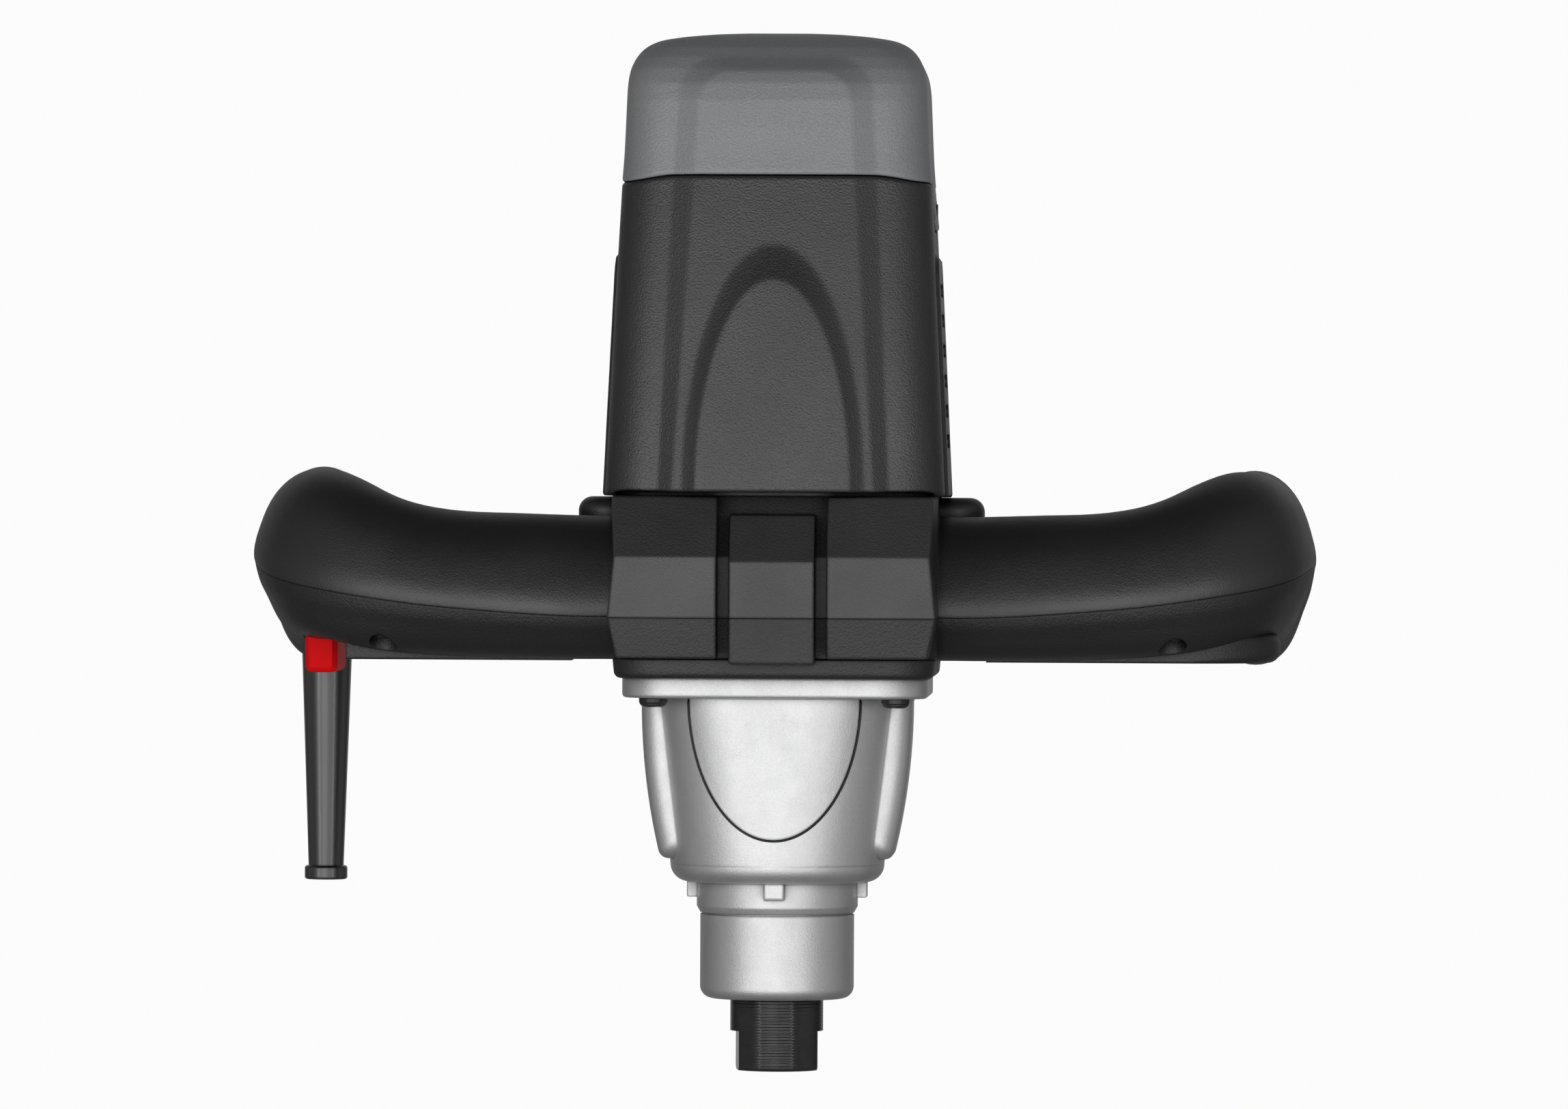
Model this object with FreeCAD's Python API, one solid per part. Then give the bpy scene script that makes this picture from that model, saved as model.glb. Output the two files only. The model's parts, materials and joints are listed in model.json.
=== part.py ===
import FreeCAD, Part
import math
import os

# Mixing drill with two side grips. Millimetres, +Z up, -Y is the front of the tool.
# The origin is the centre of the spindle's nose face, and the spindle points down.

# Fits, gaps and cuts
overrun = 1.0
tolerance = 0.03
loft_degree = 3
running_clearance = 0.03
seat_clearance = 0.02
screw_clearance = 0.05
moving_gap = 0.4
parting_gap = 0.12

# Lengths of the stack along the spindle axis
nose_length = 20.0
collar_length = 24.0
neck_taper_length = 1.8
neck_length = 6.8
body_length = 51.6
flange_thickness = 5.5
block_height = 51.5
housing_height = 87.3
cap_height = 40.8

collar_bottom = nose_length
collar_top = collar_bottom + collar_length
neck_bottom = collar_top + neck_taper_length
body_bottom = neck_bottom + neck_length
flange_bottom = body_bottom + body_length
flange_top = flange_bottom + flange_thickness
block_top = flange_top + block_height
housing_top = block_top + housing_height
cap_top = housing_top + cap_height

# Ball bearings: outer radius, bore radius and width
spindle_bearing_outer = 17.5
spindle_bearing_bore = 7.5
spindle_bearing_width = 11.0
layshaft_bearing_outer = 9.5
layshaft_bearing_bore = 3.0
layshaft_bearing_width = 6.0
motor_bearing_outer = 16.0
motor_bearing_bore = 6.0
motor_bearing_width = 10.0
top_bearing_outer = 11.0
top_bearing_bore = 4.0
top_bearing_width = 7.0
race_share = 0.3
shield_depth = 0.5

# Gears: the fast pair is on the armature and layshaft, the slow pair on layshaft and spindle
fast_module = 1.0
fast_pinion_teeth = 7
fast_gear_teeth = 35
slow_pinion_teeth = 7
slow_gear_teeth = 28
shaft_distance = fast_module * (fast_pinion_teeth + fast_gear_teeth) / 2
slow_module = 2 * shaft_distance / (slow_pinion_teeth + slow_gear_teeth)
pressure_angle = math.radians(20)
profile_shift_share = 0.6
pinion_tip_share = 0.55
pinion_root_share = 1.25
gear_tip_share = 1.0
gear_root_share = 0.8
backlash_share = 0.1
slow_gear_width = 12.0
slow_pinion_extra = 2.0
fast_gear_width = 8.0
fast_pinion_extra = 2.0
gear_web_thickness = 5.0
gear_rim_share = 0.78
gear_hub_radius = 11.5
layshaft_hub_radius = 7.0

# Heights inside the gear housing
seal_recess = 0.6
seal_thickness = 2.8
seal_gap = 0.6
bearing_spacer_length = 7.0
bearing_lip = 2.0
gear_floor_gap = 0.5
spindle_gear_gap = 2.0
spindle_end_length = 2.0
fast_gear_gap = 2.5
plate_thickness = 6.0

seal_bottom = collar_bottom + seal_recess
lower_bearing_bottom = seal_bottom + seal_thickness + seal_gap
upper_bearing_bottom = lower_bearing_bottom + spindle_bearing_width + bearing_spacer_length
upper_bearing_top = upper_bearing_bottom + spindle_bearing_width
layshaft_bearing_bottom = upper_bearing_top + bearing_lip
gear_floor = layshaft_bearing_bottom + layshaft_bearing_width + gear_floor_gap
spindle_gear_bottom = gear_floor + spindle_gear_gap
spindle_gear_top = spindle_gear_bottom + slow_gear_width
circlip_thickness = 1.0
spindle_top = spindle_gear_top + circlip_thickness + spindle_end_length
fast_gear_bottom = spindle_top + fast_gear_gap
fast_gear_top = fast_gear_bottom + fast_gear_width
layshaft_top_bearing_bottom = fast_gear_top + fast_gear_gap
plate_bottom = flange_top - plate_thickness
motor_bearing_bottom = flange_top - motor_bearing_width

# Spindle
nose_radius = 13.0
flats_across = 22.0
flats_length = 11.0
flats_turn = 96.0
nose_chamfer = 1.0
thread_radius = 5.92
thread_depth = 24.0
key_width = 5.0
key_height = 5.0
key_seat_share = 0.6
circlip_depth = 0.6
circlip_rim = 1.8
circlip_gap_width = 4.0

# Gear housing
collar_radius = 21.5
collar_fillet = 3.5
collar_line_depth = 0.35
collar_line_width = 0.5
neck_radius = 22.5
body_radius = 29.9
body_fillet = 5.0
body_top_half_width = 33.1
body_top_half_depth = 31.5
body_top_corner = 24.0
body_corner_margin = 0.4
bulge_wall = 3.4
bulge_drop = 2.0
bulge_floor = 1.2
gear_wall = 3.8
flange_half_width = 42.4
flange_front = 37.0
flange_back = 50.0
flange_corner = 14.0
flange_fillet = 1.2
lug_width = 5.6
lug_reach = 25.2
lug_drop = 4.4
lug_rise = 3.0
lug_fillet = 0.6
rib_top_half_width = 37.8
rib_bottom_half_width = 32.4
rib_bulge = 1.0
rib_half_depth = 14.0
rib_corner = 6.0
rib_end_rise = 6.5
rib_end_corner = 3.0
shield_half_width = 23.5
shield_bottom_rise = 12.5
shield_proud = 0.9
fast_gear_room = 2.6
slow_pinion_room = 5.0
spindle_hole_room = 2.0
spacer_wall = 2.5

# Long screws that clamp the gear housing, the handle and the motor housing
clamp_x = 33.5
clamp_y = 28.0
clamp_screw_radius = 2.5
clamp_head_radius = 4.0
clamp_head_height = 2.6
clamp_head_dome = 1.8
clamp_reach = 20.0
clamp_hole_extra = 0.3
clamp_head_room = 1.2
clamp_boss_radius = 5.0
clamp_boss_extra = 4.0
drive_socket_radius = 1.6
drive_socket_depth = 1.6

# Bearing plate
plate_front_radius = 31.0
plate_back_radius = 25.0
plate_boss_wall = 3.2
plate_lip = 2.0
plate_hole_room = 1.5
plate_gap = 0.1

# Handle block between the gear housing and the motor housing
seam_rise = 16.9
block_seam = flange_top + seam_rise
band_height = 5.3
band_half_width = 44.1
band_fillet = 2.0
block_half_width = 44.6
block_front = 44.0
core_front = 41.0
block_back = 50.0
block_corner = 12.0
block_bore_radius = 38.0
block_floor = 4.0
block_floor_hole = 24.0
shoulder_half_width = 57.0
shoulder_bottom_half_width = 51.0
shoulder_front = -6.0
shoulder_back = 38.0
shoulder_corner = 9.0
shoulder_drop = 1.2
shoulder_rise = 9.0
shoulder_fillet = 4.0
pad_gap = 3.3
centre_pad_half_width = 11.8
pad_fillet = 0.8
pad_bottom_edge = 42.7
pad_seam_edge = 45.1
pad_face_edge = 43.4
pad_top_edge = 44.3
pad_front = 54.0
pad_low_front = 51.4
pad_top_front = 48.0
pad_face_height = 16.6
pad_low_drop = 11.2
pad_top_drop = 1.2
centre_pad_front = 53.2
centre_pad_face_height = 14.8
centre_pad_low_drop = 13.2
centre_pad_top_drop = 6.2
centre_seam_rise = 0.5
groove_depth = 6.6
exhaust_slots = 5
exhaust_slot_width = 4.0
exhaust_slot_pitch = 11.0
exhaust_slot_height = 17.0
exhaust_slot_rise = 6.0
exhaust_slot_start = 21.0

# Arms and grips, as stations along a path that runs out, bends back and ends in the grip
arm_root_x = 40.0
arm_half_depth = 20.0
arm_bottom_rise = 4.8
arm_height = 40.1
bend_start_x = 102.0
bend_radius = 28.0
bend_angle = math.radians(85)
grip_length = 58.0
grip_dome_length = 8.0
grip_lift = 13.1
grip_seam_lift = 13.9
grip_bottom_lift = 5.0
shell_wall = 3.0
wire_way_length = 12.0
arm_bottom = flange_top + arm_bottom_rise
arm_top = arm_bottom + arm_height
bend_length = bend_radius * bend_angle
arm_length = bend_start_x - arm_root_x
arm_shares = (0.0, 0.16, 0.32, 0.56, 0.82, 1.0)
bend_shares = (0.33, 0.66, 1.0)
grip_shares = (0.5, 1.0)
station_top_shares = (0.0, 0.0, 0.01, 0.045, 0.1, 0.25, 0.64, 0.93, 1.0, 1.0, 0.86)
station_seam_shares = (0.0, 0.0, 0.01, 0.07, 0.16, 0.24, 0.47, 0.73, 1.0, 1.0, 1.0)
station_bottom_shares = (0.0, 0.0, 0.0, 0.04, 0.14, 0.26, 0.56, 1.0, 0.9, 0.2, 0.0)
station_width_shares = (1.0, 1.0, 1.0, 1.0, 1.0, 1.0, 0.985, 0.965, 0.95, 0.87, 0.78)
dome_shares = ((0.65, 0.88), (1.0, 0.62))
upper_power = 2.05
lower_power = 2.1
crease_share = 0.4
section_steps = 8

# Screws that close the two handle shells, in wells under the arms
handle_screw_x = 110.0
handle_screw_y = -8.0
handle_screw_radius = 2.0
handle_head_radius = 3.6
handle_head_height = 2.6
handle_well_radius = 4.0
handle_well_depth = 8.0
handle_boss_radius = 5.4
handle_screw_reach = 8.0
grip_screw_share = 0.985

# Trigger, switch and lock button in the left grip
trigger_x = -130.0
trigger_front = 20.0
trigger_length = 30.0
trigger_width = 9.2
trigger_drop = 4.6
trigger_corner = 2.2
trigger_end_corner = 2.1
trigger_travel = 4.0
trigger_flange = 1.8
trigger_flange_height = 2.0
trigger_post_width = 5.0
trigger_pad_inset = 1.2
trigger_pad_height = 0.8
trigger_pad_proud = 0.37
grip_floor = arm_bottom + shell_wall
trigger_floor = grip_floor + grip_bottom_lift
switch_width = 16.0
switch_front = 14.0
switch_length = 40.0
switch_height = 14.0
switch_post_length = 4.0
switch_post_width = 14.0
switch_gap = 0.5
lock_y = 44.0
lock_rise = 10.5
lock_radius = 4.5
lock_flange_radius = 6.0
lock_flange_thickness = 1.5
lock_proud = 3.0
lock_edge_fillet = 0.8
lock_depth = 8.5
lock_wall_x = -114.6

# Strain relief and cable clamp
cable_x = -132.6
cable_y = 70.0
cable_bore = 4.0
relief_length = 64.8
relief_top_radius = 7.15
relief_bottom_radius = 5.05
relief_end_radius = 6.15
relief_end_length = 4.0
relief_end_corner = 0.8
relief_flange_radius = 8.6
relief_flange_thickness = 3.0
relief_flange_rise = 3.5
relief_boss_wall = 1.5
relief_seat_gap = 0.1
clamp_bar_half_length = 8.2
clamp_bar_depth = 5.0
clamp_bar_thickness = 4.0
clamp_bar_y = 57.5
clamp_post_radius = 2.4
clamp_post_height = 6.5
clamp_post_offset = 5.6
cable_screw_radius = 1.4
cable_screw_head_radius = 2.4
cable_screw_head_height = 1.8

# Motor housing
housing_bottom_half_width = 46.9
housing_bottom_half_depth = 46.0
housing_top_half_width = 42.7
housing_top_half_depth = 41.0
housing_corner = 14.0
housing_wall = 3.2
side_panel_proud = 1.0
side_panel_half_depth = 26.0
side_panel_height = 65.4
side_panel_corner = 6.0
vent_slots = 6
vent_slot_height = 3.2
vent_slot_half_depth = 17.0
vent_slot_pitch = 8.4
vent_slot_rise = 13.0
panel_proud = 2.6
panel_sink = 2.2
panel_bottom_inner = 27.6
panel_bottom_outer = 31.9
panel_seam_inner = 21.8
panel_seam_outer = 28.2
panel_top_inner = 20.4
panel_top_outer = 26.4
panel_top_corner = 8.0
panel_top_drop = 12.3
panel_top_band = 4.0
arch_outer_half_width = 25.2
arch_inner_half_width = 21.2
arch_outer_height = 67.9
arch_inner_height = 58.4
arch_proud = 2.4
stator_rib_thickness = 3.0
stator_ribs = 8
ledge_height = 3.0

# Top cap
cap_wall = 2.4
cap_rise_shares = (0.0, 0.14, 0.28, 0.42, 0.56, 0.7, 0.8, 0.87, 0.919, 0.946, 0.972, 0.99, 1.0)
cap_size_shares = (1.0, 0.978, 0.969, 0.966, 0.965, 0.962, 0.952, 0.923, 0.843, 0.7, 0.5, 0.3, 0.1)
skirt_half_depth = 15.0
skirt_drop = 13.8
skirt_proud = 0.8
skirt_thickness = 2.4
skirt_corner = 4.0
cap_screw_radius = 1.75
cap_screw_head_radius = 3.4
cap_screw_head_height = 1.6
cap_screw_length = 7.0
cap_screw_share = 0.72
cap_boss_radius = 3.9
cap_boss_length = 6.0

# Motor
shaft_radius = 6.0
shaft_thin_radius = 5.0
core_radius = 21.5
core_length = 50.0
core_rise = 7.0
air_gap = 0.8
stator_radius = 38.0
stator_length = 52.0
stator_winding_length = 9.0
stator_winding_wall = 8.0
stator_winding_inset = 3.0
armature_winding_length = 8.5
armature_winding_inset = 2.5
core_slots = 12
core_slot_width = 2.2
core_slot_depth = 1.6
commutator_radius = 14.0
commutator_length = 13.0
commutator_gap = 3.0
commutator_slots = 24
commutator_slot_width = 0.6
commutator_slot_depth = 0.8
fan_radius = 33.0
fan_hub_radius = 10.0
fan_disc_thickness = 2.0
fan_blades = 11
fan_blade_height = 11.0
fan_blade_thickness = 1.8
fan_blade_inner = 15.0
fan_gap = 8.0
baffle_thickness = 2.5
baffle_hole_radius = 27.0
baffle_gap = 4.0

# Brush bridge with the upper bearing
bridge_thickness = 4.5
bridge_gap = 0.1
bridge_drop = 1.0
bush_wall = 2.0
cup_wall = 2.4
cup_floor = 2.5
cup_rise = 6.0
holder_width = 12.0
holder_height = 10.0
holder_start = 17.0
holder_end = 34.0
brush_width = 6.4
brush_height = 6.4
brush_length = 17.0
brush_gap = 0.3
bridge_screw_x = 36.0
bridge_screw_y = 24.0
bridge_screw_radius = 1.75
bridge_screw_head_radius = 3.2
bridge_screw_head_height = 2.0
bridge_screw_reach = 9.0
bridge_boss_radius = 4.2

# Heights of the motor
fan_bottom = flange_top + fan_gap
core_bottom = block_top + core_rise
core_top = core_bottom + core_length
commutator_bottom = core_top + armature_winding_length + commutator_gap
commutator_top = commutator_bottom + commutator_length
bridge_bottom = housing_top - bridge_drop - bridge_thickness
bridge_top = housing_top - bridge_drop
cup_bottom = bridge_top + cup_rise
top_bearing_bottom = cup_bottom + cup_floor
top_bearing_top = top_bearing_bottom + top_bearing_width


def at(x, y, z):
    return FreeCAD.Vector(x, y, z)


def cylinder(radius, bottom, top, x=0, y=0):
    return Part.makeCylinder(radius, top - bottom, at(x, y, bottom))


def tube(outer, inner, bottom, top, x=0, y=0):
    return cylinder(outer, bottom, top, x, y).cut(cylinder(inner, bottom - overrun, top + overrun, x, y))


def block(x0, x1, y0, y1, z0, z1):
    return Part.makeBox(x1 - x0, y1 - y0, z1 - z0, at(x0, y0, z0))


def rod_x(radius, x0, x1, y, z):
    return Part.makeCylinder(radius, x1 - x0, at(x0, y, z), at(1, 0, 0))


def rounded_wire(corners):
    """Closed outline in the XY plane through (x, y, radius) corners, each rounded by its radius."""
    edges = []
    starts = []
    ends = []
    middles = []
    for index, (x, y, radius) in enumerate(corners):
        point = at(x, y, 0)
        before = at(corners[index - 1][0], corners[index - 1][1], 0)
        following = corners[(index + 1) % len(corners)]
        inward = (point - before).normalize()
        outward = (at(following[0], following[1], 0) - point).normalize()
        half_turn = inward.getAngle(outward) / 2
        reach = radius * math.tan(half_turn)
        starts.append(point - inward * reach)
        ends.append(point + outward * reach)
        bisector = outward - inward
        if radius > 0:
            bisector.normalize()
        middles.append(point + bisector * (radius / math.cos(half_turn) - radius))
    for index, corner in enumerate(corners):
        if corner[2] > 0:
            edges.append(Part.Arc(starts[index], middles[index], ends[index]).toShape())
        following = (index + 1) % len(corners)
        if (starts[following] - ends[index]).Length > tolerance:
            edges.append(Part.LineSegment(ends[index], starts[following]).toShape())
    return Part.Wire(edges)


def prism(corners, bottom, top):
    """Upright prism on a rounded outline."""
    solid = Part.Face(rounded_wire(corners)).extrude(at(0, 0, top - bottom))
    solid.translate(at(0, 0, bottom))
    return solid


def rectangle(half_width, front, back, corner):
    return ((-half_width, -front, corner), (half_width, -front, corner),
            (half_width, back, corner), (-half_width, back, corner))


def rectangle_wire(half_width, front, back, corner, height):
    wire = rounded_wire(rectangle(half_width, front, back, corner))
    wire.translate(at(0, 0, height))
    return wire


def tapered(lower, upper):
    """Straight taper between two rectangle wires."""
    return Part.makeLoft([lower, upper], True, True)


def turned(corners, x=0, y=0):
    """Body of revolution about a vertical axis, from (radius, height, rounding) corners."""
    face = Part.Face(rounded_wire(corners))
    face.rotate(at(0, 0, 0), at(1, 0, 0), 90)
    solid = face.revolve(at(0, 0, 0), at(0, 0, 1), 360)
    solid.translate(at(x, y, 0))
    return solid


def front_prism(corners, front, back):
    """Prism along Y on an outline of (x, z, radius) corners."""
    face = Part.Face(rounded_wire(corners))
    face.rotate(at(0, 0, 0), at(1, 0, 0), 90)
    face.translate(at(0, back, 0))
    return face.extrude(at(0, front - back, 0))


def side_prism(corners, left, right):
    """Prism along X on an outline of (y, z, radius) corners."""
    face = Part.Face(rounded_wire(corners))
    face.rotate(at(0, 0, 0), at(1, 0, 0), 90)
    face.rotate(at(0, 0, 0), at(0, 0, 1), 90)
    face.translate(at(left, 0, 0))
    return face.extrude(at(right - left, 0, 0))


def mirrored_x(shape):
    return shape.mirror(at(0, 0, 0), at(1, 0, 0))


def bearing(outer, bore, width, bottom, x=0, y=0):
    """Ball bearing as one ring with a sunk shield on both faces."""
    top = bottom + width
    race = (outer - bore) * race_share
    ring = tube(outer, bore + running_clearance, bottom, top, x, y)
    lower_shield = tube(outer - race, bore + race, bottom - overrun, bottom + shield_depth, x, y)
    upper_shield = tube(outer - race, bore + race, top - shield_depth, top + overrun, x, y)
    return ring.cut(lower_shield).cut(upper_shield)


def involute(angle):
    return math.tan(angle) - angle


def gear_sizes(module, teeth, shift_share, tip_share, root_share):
    """Pitch, base, tip and root radius of a gear, and its tooth's thickness at the pitch circle."""
    pitch = module * teeth / 2
    base = pitch * math.cos(pressure_angle)
    tip = pitch + module * (shift_share + tip_share)
    root = pitch + module * (shift_share - root_share)
    spread = math.pi / 2 + 2 * shift_share * math.tan(pressure_angle) - backlash_share
    return pitch, base, tip, root, module * spread


def gear_blank(sizes, teeth, first_tooth, bottom, top, x=0, y=0):
    """Toothed prism with involute flanks, whose first tooth points along first_tooth (radians)."""
    pitch, base, tip, root, thickness = sizes
    flank_foot = max(base, root)
    step = 2 * math.pi / teeth

    def half_angle(radius):
        return thickness / (2 * pitch) + involute(pressure_angle) - involute(math.acos(base / radius))

    def polar(radius, angle):
        return at(radius * math.cos(angle), radius * math.sin(angle), 0)

    middle = (flank_foot + tip) / 2
    edges = []
    for tooth in range(teeth):
        centre = first_tooth + tooth * step
        for side in (-1, 1):
            foot = polar(flank_foot, centre + side * half_angle(flank_foot))
            bulge = polar(middle, centre + side * half_angle(middle))
            crest = polar(tip, centre + side * half_angle(tip))
            edges.append(Part.Arc(foot, bulge, crest).toShape())
            if root < flank_foot:
                heel = polar(root, centre + side * half_angle(flank_foot))
                edges.append(Part.LineSegment(heel, foot).toShape())
        edges.append(Part.Arc(polar(tip, centre - half_angle(tip)), polar(tip, centre),
                              polar(tip, centre + half_angle(tip))).toShape())
        gap_start = polar(root, centre + half_angle(flank_foot))
        gap_end = polar(root, centre + step - half_angle(flank_foot))
        edges.append(Part.Arc(gap_start, polar(root, centre + step / 2), gap_end).toShape())
    face = Part.Face(Part.Wire(Part.__sortEdges__(edges)))
    solid = face.extrude(at(0, 0, top - bottom))
    solid.translate(at(x, y, bottom))
    return solid


fast_pinion = gear_sizes(fast_module, fast_pinion_teeth, profile_shift_share, pinion_tip_share,
                         pinion_root_share)
fast_gear = gear_sizes(fast_module, fast_gear_teeth, -profile_shift_share, gear_tip_share, gear_root_share)
slow_pinion = gear_sizes(slow_module, slow_pinion_teeth, profile_shift_share, pinion_tip_share,
                         pinion_root_share)
slow_gear = gear_sizes(slow_module, slow_gear_teeth, -profile_shift_share, gear_tip_share, gear_root_share)
fast_gear_tip = fast_gear[2]
slow_gear_tip = slow_gear[2]
fast_pinion_tip = fast_pinion[2]
slow_pinion_tip = slow_pinion[2]
gear_room_radius = body_radius - gear_wall
bulge_room = fast_gear_tip + fast_gear_room
pinion_room = slow_pinion_tip + slow_pinion_room
clamp_places = [(x, y) for x in (-clamp_x, clamp_x) for y in (-clamp_y, clamp_y)]


# Spindle group

def make_spindle():
    profile = ((0, 0, 0), (nose_radius - nose_chamfer, 0, 0), (nose_radius, nose_chamfer, 0),
               (nose_radius, lower_bearing_bottom, 0), (spindle_bearing_bore, lower_bearing_bottom, 0),
               (spindle_bearing_bore, spindle_top, 0), (0, spindle_top, 0))
    body = turned(profile)
    for side in (-1, 1):
        outside = block(-nose_radius, nose_radius, flats_across / 2, nose_radius + overrun,
                        -overrun, flats_length)
        outside.rotate(at(0, 0, 0), at(0, 0, 1), flats_turn + 90 * (1 + side))
        body = body.cut(outside)
    thread = cylinder(thread_radius, -overrun, thread_depth)
    groove = tube(nose_radius, spindle_bearing_bore - circlip_depth, spindle_gear_top,
                  spindle_gear_top + circlip_thickness)
    return body.cut(thread).cut(groove).cut(key_space(seat_clearance))


def key_space(clearance):
    half_width = key_width / 2 + clearance
    outer = spindle_bearing_bore + key_height * (1 - key_seat_share) + clearance
    inner = spindle_bearing_bore - key_height * key_seat_share - clearance
    return block(-half_width, half_width, -outer, -inner, spindle_gear_bottom, spindle_gear_top)


def make_spindle_key():
    return key_space(0)


def make_spindle_gear():
    gap_at_layshaft = math.pi / 2 + math.pi / slow_gear_teeth
    blank = gear_blank(slow_gear, slow_gear_teeth, gap_at_layshaft, spindle_gear_bottom, spindle_gear_top)
    rim = slow_gear_tip * gear_rim_share
    recess_depth = (slow_gear_width - gear_web_thickness) / 2
    for bottom in (spindle_gear_bottom - overrun, spindle_gear_top - recess_depth):
        blank = blank.cut(tube(rim, gear_hub_radius, bottom, bottom + recess_depth + overrun))
    bore = cylinder(spindle_bearing_bore + seat_clearance, spindle_gear_bottom - overrun,
                    spindle_gear_top + overrun)
    return blank.cut(bore).cut(key_space(seat_clearance))


def make_spindle_circlip():
    inner = spindle_bearing_bore - circlip_depth + seat_clearance
    ring = tube(spindle_bearing_bore + circlip_rim, inner, spindle_gear_top + seat_clearance,
                spindle_gear_top + circlip_thickness - seat_clearance)
    gap = block(-circlip_gap_width / 2, circlip_gap_width / 2, 0, spindle_bearing_bore + circlip_rim + overrun,
                spindle_gear_top - overrun, spindle_top)
    return ring.cut(gap)


def make_spindle_seal():
    ring = tube(spindle_bearing_outer, nose_radius + running_clearance, seal_bottom,
                seal_bottom + seal_thickness)
    lip_groove = tube((spindle_bearing_outer + nose_radius) / 2 + seal_gap, nose_radius + seal_gap,
                      seal_bottom - overrun, seal_bottom + seal_thickness / 2)
    return ring.cut(lip_groove)


def make_bearing_spacer():
    bottom = lower_bearing_bottom + spindle_bearing_width
    return tube(spindle_bearing_outer, spindle_bearing_outer - spacer_wall, bottom, upper_bearing_bottom)


# Layshaft group

def make_intermediate_shaft():
    pinion_bottom = gear_floor + gear_floor_gap
    pinion_top = fast_gear_bottom - gear_floor_gap
    teeth_top = spindle_gear_top + slow_pinion_extra / 2
    tooth_at_spindle = -math.pi / 2
    teeth = gear_blank(slow_pinion, slow_pinion_teeth, tooth_at_spindle, pinion_bottom, teeth_top, 0,
                       shaft_distance)
    root = slow_pinion[3]
    collar = cylinder(slow_pinion_tip, teeth_top, pinion_top, 0, shaft_distance)
    seat = cylinder(root, pinion_top, layshaft_top_bearing_bottom - gear_floor_gap, 0, shaft_distance)
    journals = cylinder(layshaft_bearing_bore, layshaft_bearing_bottom,
                        layshaft_top_bearing_bottom + layshaft_bearing_width, 0, shaft_distance)
    return teeth.fuse([collar, seat, journals]).removeSplitter()


def make_intermediate_gear():
    gap_at_armature = -math.pi / 2 + math.pi / fast_gear_teeth
    blank = gear_blank(fast_gear, fast_gear_teeth, gap_at_armature, fast_gear_bottom, fast_gear_top, 0,
                       shaft_distance)
    rim = fast_gear_tip * gear_rim_share
    recess_depth = (fast_gear_width - gear_web_thickness) / 2
    for bottom in (fast_gear_bottom - overrun, fast_gear_top - recess_depth):
        blank = blank.cut(tube(rim, layshaft_hub_radius, bottom, bottom + recess_depth + overrun, 0,
                               shaft_distance))
    bore = cylinder(slow_pinion[3] + seat_clearance, fast_gear_bottom - overrun, fast_gear_top + overrun,
                    0, shaft_distance)
    return blank.cut(bore)


# Gear housing

def housing_outline_wire(half_width, half_depth, corner, height):
    return rectangle_wire(half_width, half_depth, half_depth, corner, height)


def make_rib():
    """Side buttress, right side: a drafted outline in the front view with rounded outer corners."""
    middle = (flange_bottom + body_bottom) / 2
    middle_half_width = (rib_top_half_width + rib_bottom_half_width) / 2 + rib_bulge
    lower_end = body_bottom + rib_end_rise
    outline = Part.Wire([
        Part.LineSegment(at(0, 0, lower_end), at(rib_bottom_half_width, 0, lower_end)).toShape(),
        Part.Arc(at(rib_bottom_half_width, 0, lower_end), at(middle_half_width, 0, middle),
                 at(rib_top_half_width, 0, flange_bottom)).toShape(),
        Part.LineSegment(at(rib_top_half_width, 0, flange_bottom), at(0, 0, flange_bottom)).toShape(),
        Part.LineSegment(at(0, 0, flange_bottom), at(0, 0, lower_end)).toShape()])
    face = Part.Face(outline)
    face.translate(at(0, -rib_half_depth, 0))
    rib = face.extrude(at(0, 2 * rib_half_depth, 0))
    end_edges = [edge for edge in rib.Edges
                 if abs(edge.CenterOfMass.z - lower_end) < tolerance
                 and abs(edge.CenterOfMass.x - rib_bottom_half_width) < tolerance]
    rib = rib.makeFillet(rib_end_corner, end_edges)
    side_edges = [edge for edge in rib.Edges
                  if abs(abs(edge.CenterOfMass.y) - rib_half_depth) < tolerance
                  and edge.CenterOfMass.x > rib_bottom_half_width - rib_end_corner
                  and lower_end + tolerance < edge.CenterOfMass.z < flange_bottom - overrun]
    return rib.makeFillet(rib_corner, side_edges)


def make_shield():
    """Raised panel on the front of the gear housing, with a half-ellipse for its lower edge."""
    bottom = body_bottom + shield_bottom_rise
    ellipse = Part.Ellipse(at(0, bottom, 0), at(shield_half_width, flange_bottom, 0), at(0, flange_bottom, 0))
    arc = Part.Arc(ellipse, -math.pi / 2, math.pi / 2).toShape()
    chord = Part.LineSegment(at(-shield_half_width, flange_bottom, 0), at(shield_half_width, flange_bottom, 0))
    face = Part.Face(Part.Wire(Part.__sortEdges__([arc, chord.toShape()])))
    face.rotate(at(0, 0, 0), at(1, 0, 0), 90)
    reach = face.extrude(at(0, -flange_front, 0))
    skin = main_body(shield_proud)
    return skin.common(reach)


def main_body(extra):
    """Drafted round body that grows to a rounded square under the flange."""
    radius = body_radius + extra
    lower = housing_outline_wire(radius, radius, radius - body_corner_margin, body_bottom + body_fillet)
    upper = housing_outline_wire(body_top_half_width + extra, body_top_half_depth + extra,
                                 body_top_corner + extra, flange_bottom)
    return tapered(lower, upper)


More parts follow.
